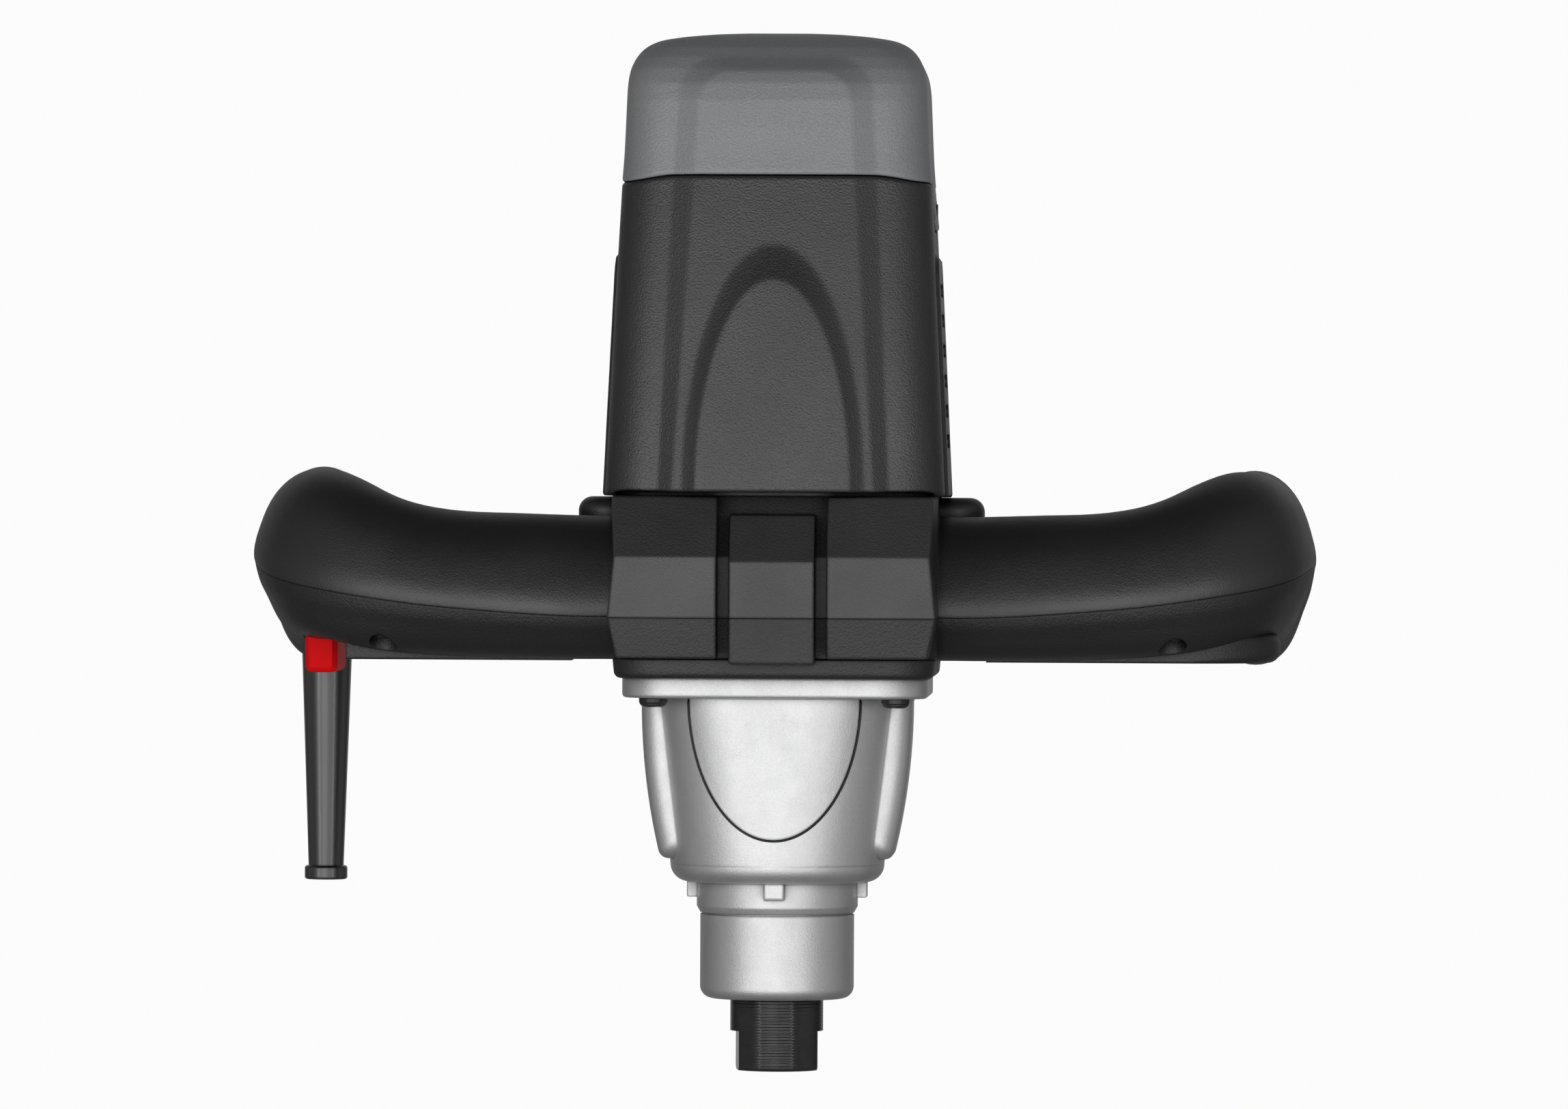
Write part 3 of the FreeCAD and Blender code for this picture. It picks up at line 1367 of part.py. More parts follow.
def make_top_cap():
    front = front_panel().common(block(-shoulder_half_width, shoulder_half_width, -cap_top, 0, housing_top,
                                       cap_top))
    solid = cap_profile(0).fuse(front)
    skirt = housing_solid(-skirt_proud, block_top, housing_top)
    skirt = skirt.cut(housing_solid(skirt_thickness - skirt_proud - seat_clearance, block_top, housing_top))
    skirt = skirt.common(skirt_reach(0))
    solid = solid.fuse([skirt, mirrored_x(skirt)]).removeSplitter()
    hollow = cap_profile(cap_wall)
    hollow.translate(at(0, 0, -seat_clearance))
    solid = solid.cut(hollow)
    hole = rod_x(cap_screw_radius + screw_clearance, -shoulder_half_width, shoulder_half_width, 0, skirt_height())
    cuts = [hole]
    for side in (-1, 1):
        start = side * (skirt_outer() - cap_screw_head_height)
        end = side * shoulder_half_width
        cuts.append(rod_x(cap_screw_head_radius + screw_clearance, min(start, end), max(start, end), 0,
                          skirt_height()))
    return solid.cut(cuts)


def make_cap_screws():
    screws = []
    for side in (-1, 1):
        head_inner = side * (skirt_outer() - cap_screw_head_height)
        head_outer = side * skirt_outer()
        tip = head_inner - side * cap_screw_length
        head = rod_x(cap_screw_head_radius, min(head_inner, head_outer), max(head_inner, head_outer), 0,
                     skirt_height())
        shank = rod_x(cap_screw_radius, min(tip, head_inner), max(tip, head_inner), 0, skirt_height())
        screws.append(head.fuse(shank))
    return Part.makeCompound(screws)


# Motor pieces

def make_armature_shaft():
    pinion_bottom = fast_gear_bottom - fast_pinion_extra / 2
    teeth_top = fast_gear_top + fast_pinion_extra
    tooth_at_layshaft = math.pi / 2
    teeth = gear_blank(fast_pinion, fast_pinion_teeth, tooth_at_layshaft, pinion_bottom, teeth_top)
    stem = cylinder(fast_pinion_tip, teeth_top, motor_bearing_bottom)
    journal = cylinder(shaft_radius, motor_bearing_bottom, core_bottom)
    middle = cylinder(shaft_thin_radius, core_bottom, top_bearing_bottom - cup_floor)
    end = cylinder(top_bearing_bore, top_bearing_bottom - cup_floor, top_bearing_top)
    return teeth.fuse([stem, journal, middle, end]).removeSplitter()


def make_armature_core():
    core = tube(core_radius, shaft_thin_radius + seat_clearance, core_bottom, core_top)
    slots = []
    for slot in range(core_slots):
        cut = block(core_radius - core_slot_depth, core_radius + overrun, -core_slot_width / 2,
                    core_slot_width / 2, core_bottom - overrun, core_top + overrun)
        cut.rotate(at(0, 0, 0), at(0, 0, 1), 360 * slot / core_slots)
        slots.append(cut)
    return core.cut(slots)


def make_armature_winding():
    outer = core_radius - armature_winding_inset
    inner = shaft_radius + seat_clearance
    rings = []
    for bottom in (core_bottom - armature_winding_length, core_top):
        top = bottom + armature_winding_length
        rings.append(turned(((inner, bottom, 0), (outer, bottom, armature_winding_inset),
                             (outer, top, armature_winding_inset), (inner, top, 0))))
    return Part.makeCompound(rings)


def make_commutator():
    ring = tube(commutator_radius, shaft_thin_radius + seat_clearance, commutator_bottom - commutator_gap,
                commutator_top)
    slots = []
    for slot in range(commutator_slots):
        cut = block(commutator_radius - commutator_slot_depth, commutator_radius + overrun,
                    -commutator_slot_width / 2, commutator_slot_width / 2, commutator_bottom,
                    commutator_top + overrun)
        cut.rotate(at(0, 0, 0), at(0, 0, 1), 360 * slot / commutator_slots)
        slots.append(cut)
    return ring.cut(slots)


def make_cooling_fan():
    top = fan_bottom + fan_disc_thickness + fan_blade_height
    disc = tube(fan_radius, shaft_radius + seat_clearance, top - fan_disc_thickness, top)
    hub = tube(fan_hub_radius, shaft_radius + seat_clearance, fan_bottom, top)
    blades = []
    for blade in range(fan_blades):
        plate = block(fan_blade_inner, fan_radius - overrun, -fan_blade_thickness / 2, fan_blade_thickness / 2,
                      fan_bottom, top - fan_disc_thickness)
        plate.rotate(at(0, 0, 0), at(0, 0, 1), 360 * blade / fan_blades)
        blades.append(plate)
    return disc.fuse([hub] + blades).removeSplitter()


def make_air_baffle():
    bottom = fan_bottom + fan_disc_thickness + fan_blade_height + baffle_gap
    return tube(block_bore_radius - seat_clearance, baffle_hole_radius, bottom, bottom + baffle_thickness)


def make_stator_core():
    return tube(stator_radius, core_radius + air_gap, stator_bottom(), stator_bottom() + stator_length)


def make_stator_winding():
    outer = stator_radius - stator_winding_inset
    inner = outer - stator_winding_wall
    rings = []
    for bottom in (stator_bottom() - stator_winding_length, stator_bottom() + stator_length):
        top = bottom + stator_winding_length
        rings.append(turned(((inner, bottom, 0), (outer, bottom, stator_winding_inset),
                             (outer, top, stator_winding_inset), (inner, top, 0))))
    return Part.makeCompound(rings)


# Brush bridge

def bridge_screw_places():
    return [(side_x * bridge_screw_x, side_y * bridge_screw_y) for side_x in (-1, 1) for side_y in (-1, 1)]


def make_brush_bridge():
    plate = housing_solid(housing_wall + bridge_gap, bridge_bottom, bridge_top)
    outer = top_bearing_outer + bush_wall + cup_wall
    cup = cylinder(outer, bridge_top, top_bearing_top)
    solid = plate.fuse(cup).removeSplitter()
    seat = cylinder(top_bearing_outer + bush_wall + seat_clearance, top_bearing_bottom, cap_top)
    hole = cylinder(shaft_thin_radius + plate_hole_room, bridge_bottom - overrun, cap_top)
    cuts = [seat, hole]
    for x, y in bridge_screw_places():
        cuts.append(cylinder(bridge_screw_radius + screw_clearance, bridge_bottom - overrun, bridge_top + overrun,
                             x, y))
    for side in (-1, 1):
        window = block(-holder_width / 2, holder_width / 2, min(side * outer, side * holder_end),
                       max(side * outer, side * holder_end), bridge_bottom + bridge_thickness / 2, cap_top)
        cuts.append(window)
    return solid.cut(cuts)


def make_bearing_bush():
    outer = top_bearing_outer + bush_wall
    return tube(outer, top_bearing_outer + seat_clearance, top_bearing_bottom, top_bearing_top)


def make_brush_holders():
    holders = []
    top = bridge_bottom
    for side in (-1, 1):
        near = side * holder_start
        far = side * holder_end
        shell = block(-holder_width / 2, holder_width / 2, min(near, far), max(near, far), top - holder_height, top)
        middle = top - holder_height / 2
        way = block(-brush_width / 2 - seat_clearance, brush_width / 2 + seat_clearance,
                    min(near, far) - overrun, max(near, far) + overrun, middle - brush_height / 2 - seat_clearance,
                    middle + brush_height / 2 + seat_clearance)
        holders.append(shell.cut(way))
    return Part.makeCompound(holders)


def make_carbon_brushes():
    brushes = []
    middle = bridge_bottom - holder_height / 2
    for side in (-1, 1):
        near = side * (commutator_radius + brush_gap)
        far = side * (commutator_radius + brush_gap + brush_length)
        brushes.append(block(-brush_width / 2, brush_width / 2, min(near, far), max(near, far),
                             middle - brush_height / 2, middle + brush_height / 2))
    return Part.makeCompound(brushes)


def make_bridge_screws():
    screws = []
    for x, y in bridge_screw_places():
        shank = cylinder(bridge_screw_radius, bridge_bottom - bridge_screw_reach + overrun, bridge_top, x, y)
        head = cylinder(bridge_screw_head_radius, bridge_top, bridge_top + bridge_screw_head_height, x, y)
        screws.append(shank.fuse(head))
    return Part.makeCompound(screws)


def make_bearings():
    lower = bearing(spindle_bearing_outer, spindle_bearing_bore, spindle_bearing_width, lower_bearing_bottom)
    upper = bearing(spindle_bearing_outer, spindle_bearing_bore, spindle_bearing_width, upper_bearing_bottom)
    layshaft_lower = bearing(layshaft_bearing_outer, layshaft_bearing_bore, layshaft_bearing_width,
                             layshaft_bearing_bottom, 0, shaft_distance)
    layshaft_upper = bearing(layshaft_bearing_outer, layshaft_bearing_bore, layshaft_bearing_width,
                             layshaft_top_bearing_bottom, 0, shaft_distance)
    motor_lower = bearing(motor_bearing_outer, motor_bearing_bore, motor_bearing_width, motor_bearing_bottom)
    motor_upper = bearing(top_bearing_outer, top_bearing_bore, top_bearing_width, top_bearing_bottom)
    return {"spindle_lower_bearing": lower, "spindle_upper_bearing": upper,
            "intermediate_lower_bearing": layshaft_lower, "intermediate_upper_bearing": layshaft_upper,
            "armature_lower_bearing": motor_lower, "armature_upper_bearing": motor_upper}


nodes = {
    "spindle": make_spindle(),
    "spindle_key": make_spindle_key(),
    "spindle_gear": make_spindle_gear(),
    "spindle_circlip": make_spindle_circlip(),
    "spindle_seal": make_spindle_seal(),
    "bearing_spacer": make_bearing_spacer(),
    "intermediate_shaft": make_intermediate_shaft(),
    "intermediate_gear": make_intermediate_gear(),
    "gear_housing": make_gear_housing(),
    "gear_housing_screws": make_gear_housing_screws(),
    "bearing_plate": make_bearing_plate(),
    "handle_upper_shell": make_handle_upper_shell(),
    "handle_lower_shell": make_handle_lower_shell(),
    "handle_screws": make_handle_screws(),
    "trigger": make_trigger(),
    "switch_module": make_switch_module(),
    "lock_button": make_lock_button(),
    "strain_relief": make_strain_relief(),
    "cable_clamp": make_cable_clamp(),
    "cable_clamp_screws": make_cable_clamp_screws(),
    "motor_housing": make_motor_housing(),
    "top_cap": make_top_cap(),
    "cap_screws": make_cap_screws(),
    "armature_shaft": make_armature_shaft(),
    "armature_core": make_armature_core(),
    "armature_winding": make_armature_winding(),
    "commutator": make_commutator(),
    "cooling_fan": make_cooling_fan(),
    "air_baffle": make_air_baffle(),
    "stator_core": make_stator_core(),
    "stator_winding": make_stator_winding(),
    "brush_bridge": make_brush_bridge(),
    "bearing_bush": make_bearing_bush(),
    "brush_holders": make_brush_holders(),
    "carbon_brushes": make_carbon_brushes(),
    "bridge_screws": make_bridge_screws(),
}
nodes.update(make_bearings())

os.makedirs("parts", exist_ok=True)
for name, shape in nodes.items():
    shape.exportStep("parts/" + name + ".step")
    print(name, "valid" if shape.isValid() else "INVALID", len(shape.Solids), round(shape.Volume))
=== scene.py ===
import json
import math

import bmesh
import bpy
import numpy as np
from mathutils import Matrix, Vector


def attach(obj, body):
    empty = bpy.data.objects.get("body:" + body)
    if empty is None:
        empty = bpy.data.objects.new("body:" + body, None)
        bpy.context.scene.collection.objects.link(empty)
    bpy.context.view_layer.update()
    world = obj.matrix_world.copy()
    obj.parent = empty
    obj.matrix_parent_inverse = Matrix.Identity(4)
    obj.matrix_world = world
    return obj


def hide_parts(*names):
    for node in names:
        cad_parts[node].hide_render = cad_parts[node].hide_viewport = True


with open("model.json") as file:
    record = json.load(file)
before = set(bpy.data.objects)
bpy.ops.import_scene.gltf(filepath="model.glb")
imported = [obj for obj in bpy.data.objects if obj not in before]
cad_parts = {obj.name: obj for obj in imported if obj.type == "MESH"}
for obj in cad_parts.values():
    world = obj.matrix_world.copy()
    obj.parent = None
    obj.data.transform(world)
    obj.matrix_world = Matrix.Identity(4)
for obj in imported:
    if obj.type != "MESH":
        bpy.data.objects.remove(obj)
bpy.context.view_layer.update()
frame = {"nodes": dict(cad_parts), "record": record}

nodes = frame["nodes"]
MM = 0.001
QUARTER_TURN = np.pi / 2

# Camera: the photograph's frame, taken from a little to the right and almost level
PHOTO_WIDTH = 2296
PIXELS_PER_MM = 5.24
CAMERA_DISTANCE = 2.6
CAMERA_AZIMUTH = math.radians(2.2)
CAMERA_ELEVATION = math.radians(0.2)
CAMERA_ROLL = math.radians(0.28)
CAMERA_CLIP = (0.05, 50.0)
AIM = Vector((1.4, 0.0, 143.9)) * MM
SENSOR_WIDTH = 36.0

# Finishes: rounding of edges and reach of the painted shade in corners in metres, and the spans that the
# masks use
EDGE_RADIUS = 0.0009
EDGE_SPAN = (0.99, 0.9)
PLASTIC_SHADE_REACH = 0.006
CAST_SHADE_REACH = 0.008
STEEL_SHADE_REACH = 0.005
CORNER_SHADE_SPAN = (0.75, 0.3)
NOISE_SPAN = (0.3, 0.7)

# Floor and world: a lobe is its axis, the dot products where it starts and ends, its strength and its base
FLOOR_DROP = 0.45
FLOOR_RADIUS = 0.65
FLOOR_RINGS = 12
FLOOR_SPOKES = 180
FLOOR_PALENESS = 0.62
BACKDROP = (0.97, 0.97, 0.97, 1.0)
FRONT_LOBE = ((-0.06, -0.97, -0.24), 0.52, 0.92, 1.9)
CEILING_FADE = ((0.0, 0.0, 1.0), 0.0, 0.5, 0.04, 1.0)
GROUND_FADE = ((0.0, 0.0, -1.0), 0.4, 0.8, 0.1, 1.0)
FILL_LOBES = (((0.0, 0.0, -1.0), 0.0, 0.95, 0.08, 0.03), ((0.0, 1.0, 0.25), 0.6, 1.0, 0.4),
              ((-0.95, -0.3, 0.0), 0.5, 1.0, 0.3), ((0.95, -0.3, 0.0), 0.5, 1.0, 0.36))
GLOSS_SHARE = 0.04

# Lamps: name, place, width and height, and power
LAMP_TARGET = Vector((0.0, 0.0, 0.14))
LAMPS = (("front_softbox", (-0.3, -1.9, 0.1), (1.0, 0.7), 2.4),
         ("left_strip", (-1.22, -1.45, 0.05), (0.08, 0.9), 1.6),
         ("right_strip", (1.22, -1.45, 0.05), (0.08, 0.9), 1.6))

# Motor housing and cap, in millimetres; pairs are the half width and the half depth
HOUSING_BOTTOM = 161.2
HOUSING_TOP = 248.5
CAP_HEIGHT = 40.8
HOUSING_FOOT = (46.9, 46.0)
HOUSING_HEAD = (42.7, 41.0)
HOUSING_CORNER = 14.0
HOUSING_WALL = 3.2
SIDE_LIP = 1.1
SIDE_LIP_SPAN = (44.0, 46.4)
SEAM_GAP = 0.35
SEAM_DIP = 1.6
SEAM_DIP_SPAN = (27.0, 42.0)
EDGE_SOFTNESS = 0.9
EDGE_INSET = 0.55
RAMP_ROUNDING = 0.08
PANEL_PROUD = 3.0
PANEL_HEIGHTS = (0.0, 87.3, 115.8)
PANEL_INNER = (27.6, 21.8, 20.4)
PANEL_OUTER = (31.9, 28.2, 26.4)
PANEL_TOPS = (115.8, 119.8)
PANEL_CORNERS = (8.0, 10.0)
ARCH_PROUD = 3.0
ARCH_INNER = (21.2, 58.4)
ARCH_OUTER = (25.2, 67.9)
SIDE_PANEL = (26.0, 65.4, 6.0, 1.0)
SIDE_PANEL_EDGE = 0.8
VENTS = 6
VENT_START = 14.6
VENT_PITCH = 8.4
VENT_HALF = (17.0, 1.6)
VENT_DEPTH = 2.7
VENT_EDGE = 0.5
SKIRT_HALF_DEPTH = 15.0
SKIRT_DROP = 13.8
SKIRT_CORNER = 4.0
SKIRT_POCKET = 1.9
SKIRT_FLARE = 0.0025
SCREW_WELL = (238.56, 3.7, 1.7)
RECESS_EDGE = 0.4
CAP_WALL = 2.4
CAP_WALL_SIZE = 0.962
CAP_RISE = (0.0, 0.14, 0.283, 0.444, 0.605, 0.7, 0.765, 0.83, 0.878, 0.91, 0.932, 0.958, 0.978, 0.99, 1.0)
CAP_SIZE = (1.0, 0.99, 0.984, 0.978, 0.972, 0.961, 0.94, 0.905, 0.861, 0.808, 0.75, 0.6, 0.42, 0.266, 0.0)
CAP_DEPTH_RISE = (0.0, 0.28, 0.5, 0.62, 0.72, 0.8, 0.87, 0.92, 0.95, 0.975, 0.993, 1.0)
CAP_DEPTH_SIZE = (1.0, 0.985, 0.972, 0.95, 0.908, 0.852, 0.78, 0.7, 0.61, 0.45, 0.22, 0.0)

# Fineness of the two shells: columns of front, corner, side and back, and steps of the rows
SHELL_COLUMNS = (126, 14, 108, 36)
HOUSING_RIM_STEPS = (0.0, 0.12, 0.3, 0.55, 0.9)
HOUSING_STEPS = (0.016, 0.984, 170)
HOUSING_INNER_ROWS = 7
CAP_RIM_STEPS = (0.0, 0.006, 0.014, 0.026)
CAP_WALL_STEPS = (0.045, 1.0, 70)
CAP_ROWS = 150
CAP_INNER_ROWS = 24
CAP_PROFILE_STEPS = 1200
CAP_PROFILE_BLUR = 30
SHARP_EDGE = math.radians(38.0)

# Gear housing's front, in millimetres; the body's foot and head are half width, half depth and corner
BODY_HEIGHTS = (57.6, 104.2)
BODY_FOOT = (29.9, 29.9, 29.5)
BODY_HEAD = (33.1, 31.5, 24.0)
SHIELD_HALF_WIDTH = 23.5
SHIELD_DROP = 39.1
# The bead is a painted shadow laid in the shield's step.
BEAD_OFFSET = 0.3
BEAD_PROUD = 0.1
BEAD_RADIUS = 0.42
BEAD_STEPS = 121
BEAD_SIDES = 10

# Flat ribs under the two arms, in millimetres
SOLE_START = 58.0
SOLE_LEFT_END = 121.0
SOLE_BEND_START = 114.0
SOLE_BEND = 20.5
SOLE_TAIL = 34.0
SOLE_MIDDLE = (5.0, 118.4)
SOLE_HALF = (6.0, 4.4)
SOLE_CORNERS = (0.9, 3.6)
SOLE_COLUMNS = (6, 8, 4, 6)
SOLE_STRAIGHT_STEPS = 18
SOLE_BEND_STEPS = 20
SOLE_TAIL_STEPS = 10
SOLE_LEFT_STEPS = 20


def make_camera():
    """Camera that looks at the aim point, with the lens that gives the photograph's scale there."""
    data = bpy.data.cameras.new("camera")
    camera = bpy.data.objects.new("camera", data)
    bpy.context.scene.collection.objects.link(camera)
    frame_width = PHOTO_WIDTH / PIXELS_PER_MM * MM
    data.sensor_width = SENSOR_WIDTH
    data.lens = SENSOR_WIDTH * CAMERA_DISTANCE / frame_width
    data.clip_start, data.clip_end = CAMERA_CLIP
    back = Vector((math.sin(CAMERA_AZIMUTH) * math.cos(CAMERA_ELEVATION),
                   -math.cos(CAMERA_AZIMUTH) * math.cos(CAMERA_ELEVATION), math.sin(CAMERA_ELEVATION)))
    turn = (-back).to_track_quat("-Z", "Y").to_matrix().to_4x4()
    roll = Matrix.Rotation(CAMERA_ROLL, 4, "Z")
    camera.matrix_world = Matrix.Translation(AIM + back * CAMERA_DISTANCE) @ turn @ roll
    bpy.context.scene.camera = camera


# Node helpers

class NodeTree:
    """A node tree, with short calls for new nodes and links."""

    def __init__(self, tree):
        self.tree = tree

    def add(self, kind, **values):
        node = self.tree.nodes.new(kind)
        for name, value in values.items():
            setattr(node, name, value)
        return node

    def join(self, output, target):
        self.tree.links.new(output, target)

    def ramp(self, factor, low, high, start, end, curve="LINEAR"):
        """Map of a factor's span low to high onto start to end."""
        node = self.add("ShaderNodeMapRange", interpolation_type=curve)
        node.inputs["From Min"].default_value = low
        node.inputs["From Max"].default_value = high
        node.inputs["To Min"].default_value = start
        node.inputs["To Max"].default_value = end
        self.join(factor, node.inputs["Value"])
        return node.outputs["Result"]


class Shader(NodeTree):
    """A material's node tree, with short calls for what the finishes share."""

    def __init__(self, name, colour, roughness, metallic=0.0):
        self.material = bpy.data.materials.new(name)
        self.material.use_nodes = True
        super().__init__(self.material.node_tree)
        self.surface = self.tree.nodes["Principled BSDF"]
        self.put("Base Color", (*colour, 1.0))
        self.put("Roughness", roughness)
        self.put("Metallic", metallic)
        self.coordinates = self.add("ShaderNodeTexCoord").outputs["Object"]
        bevel = self.add("ShaderNodeBevel", samples=4)
        bevel.inputs["Radius"].default_value = EDGE_RADIUS
        self.soft_normal = bevel.outputs["Normal"]

    def put(self, socket, value):
        self.surface.inputs[socket].default_value = value

    def feed(self, socket, output):
        self.join(output, self.surface.inputs[socket])

    def noise(self, size, detail, roughness, stretch=(1.0, 1.0, 1.0)):
        """Noise whose lumps are about size metres across, stretched along the axes."""
        mapping = self.add("ShaderNodeMapping")
        mapping.inputs["Scale"].default_value = stretch
        self.join(self.coordinates, mapping.inputs["Vector"])
        node = self.add("ShaderNodeTexNoise")
        node.inputs["Scale"].default_value = 1.0 / size
        node.inputs["Detail"].default_value = detail
        node.inputs["Roughness"].default_value = roughness
        self.join(mapping.outputs["Vector"], node.inputs["Vector"])
        return node.outputs["Fac"]

    def bands(self, pitch, distortion=0.0):
        """Sine bands square to the Z axis, pitch metres apart."""
        node = self.add("ShaderNodeTexWave", wave_type="BANDS", bands_direction="Z", wave_profile="SIN")
        node.inputs["Scale"].default_value = math.pi / (10.0 * pitch)
        node.inputs["Distortion"].default_value = distortion
        self.join(self.coordinates, node.inputs["Vector"])
        return node.outputs["Fac"]

    def blend(self, factor, first, second):
        """Colour between two colours or sockets."""
        node = self.add("ShaderNodeMix", data_type="RGBA")
        self.join(factor, node.inputs["Factor"])
        for value, socket in ((first, node.inputs[6]), (second, node.inputs[7])):
            if isinstance(value, tuple):
                socket.default_value = (*value, 1.0)
            else:
                self.join(value, socket)
        return node.outputs[2]

    def tones(self, factor, colour, low, high):
        """Colour between two shares of a colour."""
        return self.blend(factor, scaled(colour, low), scaled(colour, high))

    def rough(self, noise, low, high):
        """Roughness that a noise moves between two values."""
        self.feed("Roughness", self.ramp(noise, *NOISE_SPAN, low, high))

    def bump(self, *layers):
        """Chain of bumps, on slightly rounded edges, from (height socket, depth in metres) layers."""
        previous = self.soft_normal
        for height, depth in layers:
            node = self.add("ShaderNodeBump")
            node.inputs["Strength"].default_value = 1.0
            node.inputs["Distance"].default_value = depth
            self.join(height, node.inputs["Height"])
            self.join(previous, node.inputs["Normal"])
            previous = node.outputs["Normal"]
        self.feed("Normal", previous)

    def edges(self):
        """Factor that is 1 on edges, where the rounded normal leaves the surface's own."""
        geometry = self.add("ShaderNodeNewGeometry")
        dot = self.add("ShaderNodeVectorMath", operation="DOT_PRODUCT")
        self.join(self.soft_normal, dot.inputs[0])
        self.join(geometry.outputs["Normal"], dot.inputs[1])
        return self.ramp(dot.outputs["Value"], *EDGE_SPAN, 0.0, 1.0)

    def corner_shade(self, reach):
        """Factor of painted shade: rises to 1 in corners that are shut in by surfaces nearer than reach
        metres.
        """
        node = self.add("ShaderNodeAmbientOcclusion", samples=4)
        node.inputs["Distance"].default_value = reach
        return self.ramp(node.outputs["AO"], *CORNER_SHADE_SPAN, 0.0, 1.0)


def scaled(colour, share):
    return tuple(channel * share for channel in colour)


# Finishes

def moulded_plastic(name, colour, roughness, grain, depth, sheen=0.5):
    """Spark-grained plastic: fine grain, faint clouding, slightly rubbed edges, and painted shade in corners
    that darkens the colour and dulls the sheen.
    """
    shader = Shader(name, colour, roughness)
    fine = shader.noise(grain, detail=2.0, roughness=0.6)
    clouds = shader.noise(0.03, detail=3.0, roughness=0.5)
    # Painted shade: corners shut in by nearby surfaces get a darker colour and less sheen.
    painted_corner_shade = shader.corner_shade(PLASTIC_SHADE_REACH)
    mottled = shader.tones(fine, colour, 0.72, 1.32)
    rubbed = shader.blend(shader.edges(), mottled, scaled(colour, 1.9))
    shader.feed("Base Color", shader.blend(painted_corner_shade, rubbed, scaled(colour, 0.25)))
    shader.feed("Specular IOR Level", shader.ramp(painted_corner_shade, 0.0, 1.0, sheen, 0.2 * sheen))
    shader.rough(clouds, roughness - 0.05, roughness + 0.06)
    shader.bump((fine, depth), (clouds, depth * 2.0))
    return shader.material


def cast_aluminium(name, colour):
    """Shot-blasted casting: satin metal with fine pits, a soft large-scale unevenness, and painted shade that
    darkens the colour in corners.
    """
    shader = Shader(name, colour, 0.43, metallic=0.88)
    pits = shader.noise(0.0004, detail=3.0, roughness=0.65)
    skin = shader.noise(0.006, detail=3.0, roughness=0.5)
    blasted = shader.tones(pits, colour, 0.8, 1.16)
    # Painted shade: the colour darkens to a fifth in corners shut in by nearby surfaces.
    shader.feed("Base Color", shader.blend(shader.corner_shade(CAST_SHADE_REACH), blasted, scaled(colour, 0.2)))
    shader.rough(skin, 0.4, 0.46)
    shader.bump((pits, 0.00008), (skin, 0.00001))
    return shader.material


def blackened_steel(name, colour, worn):
    """Turned and blackened steel: fine rings from the tool, edges in the worn colour, and painted shade that
    darkens the colour in corners.
    """
    shader = Shader(name, colour, 0.14, metallic=0.8)
    rings = shader.bands(0.0009, distortion=0.1)
    stains = shader.noise(0.004, detail=4.0, roughness=0.6)
    toned = shader.tones(stains, colour, 0.7, 1.5)
    rubbed = shader.blend(shader.edges(), toned, worn)
    # Painted shade: the colour darkens to a fifth in corners shut in by nearby surfaces.
    shader.feed("Base Color", shader.blend(shader.corner_shade(STEEL_SHADE_REACH), rubbed, scaled(colour, 0.2)))
    shader.rough(stains, 0.11, 0.17)
    shader.bump((rings, 0.0001), (stains, 0.00001))
    return shader.material


def smooth_rubber(name, colour):
    """Moulded rubber: half gloss, with faint flow marks and dust."""
    shader = Shader(name, colour, 0.3)
    shader.put("Specular IOR Level", 0.5)
    shader.put("Coat Weight", 1.0)
    shader.put("Coat Roughness", 0.22)
    flow = shader.noise(0.01, detail=3.0, roughness=0.5, stretch=(1.0, 1.0, 0.25))
    dust = shader.noise(0.0005, detail=2.0, roughness=0.6)
    shader.feed("Base Color", shader.tones(dust, colour, 0.8, 1.4))
    shader.rough(flow, 0.26, 0.36)
    shader.bump((dust, 0.000008), (flow, 0.00004))
    return shader.material


def bright_plastic(name, colour, worn):
    """Bright smooth plastic with rubbed edges in the worn colour."""
    shader = Shader(name, colour, 0.52)
    shader.put("Specular IOR Level", 0.06)
    flow = shader.noise(0.008, detail=3.0, roughness=0.5)
    fine = shader.noise(0.0004, detail=2.0, roughness=0.5)
    toned = shader.tones(flow, colour, 0.88, 1.1)
    shader.feed("Base Color", shader.blend(shader.edges(), toned, worn))
    shader.rough(fine, 0.48, 0.56)
    shader.bump((fine, 0.000006), (flow, 0.00002))
    return shader.material


def ground_metal(name, colour, pitch):
    """Machined metal with fine circular tool lines."""
    shader = Shader(name, colour, 0.28, metallic=1.0)
    rings = shader.bands(pitch, distortion=0.2)
    smear = shader.noise(0.002, detail=3.0, roughness=0.6, stretch=(1.0, 1.0, 6.0))
    shader.feed("Base Color", shader.tones(smear, colour, 0.85, 1.1))
    shader.rough(smear, 0.22, 0.36)
    shader.bump((rings, 0.00001), (smear, 0.00001))
    return shader.material


def stacked_sheets(name, colour):
    """Edge of a laminated core: thin dark lines between half-millimetre sheets."""
    shader = Shader(name, colour, 0.5, metallic=0.8)
    lines = shader.bands(0.0005)
    rust = shader.noise(0.003, detail=4.0, roughness=0.6)
    shader.feed("Base Color", shader.tones(rust, colour, 0.75, 1.2))
    shader.rough(rust, 0.42, 0.6)
    shader.bump((lines, 0.00008))
    return shader.material


def wound_wire(name, colour):
    """Enamelled copper: close bands of wire with varnish that pools between them."""
    shader = Shader(name, colour, 0.32, metallic=0.9)
    turns = shader.bands(0.0008, distortion=1.5)
    varnish = shader.noise(0.004, detail=3.0, roughness=0.5)
    shader.feed("Base Color", shader.tones(varnish, colour, 0.6, 1.15))
    shader.rough(varnish, 0.25, 0.42)
    shader.bump((turns, 0.0002))
    return shader.material


# World, floor and lamps

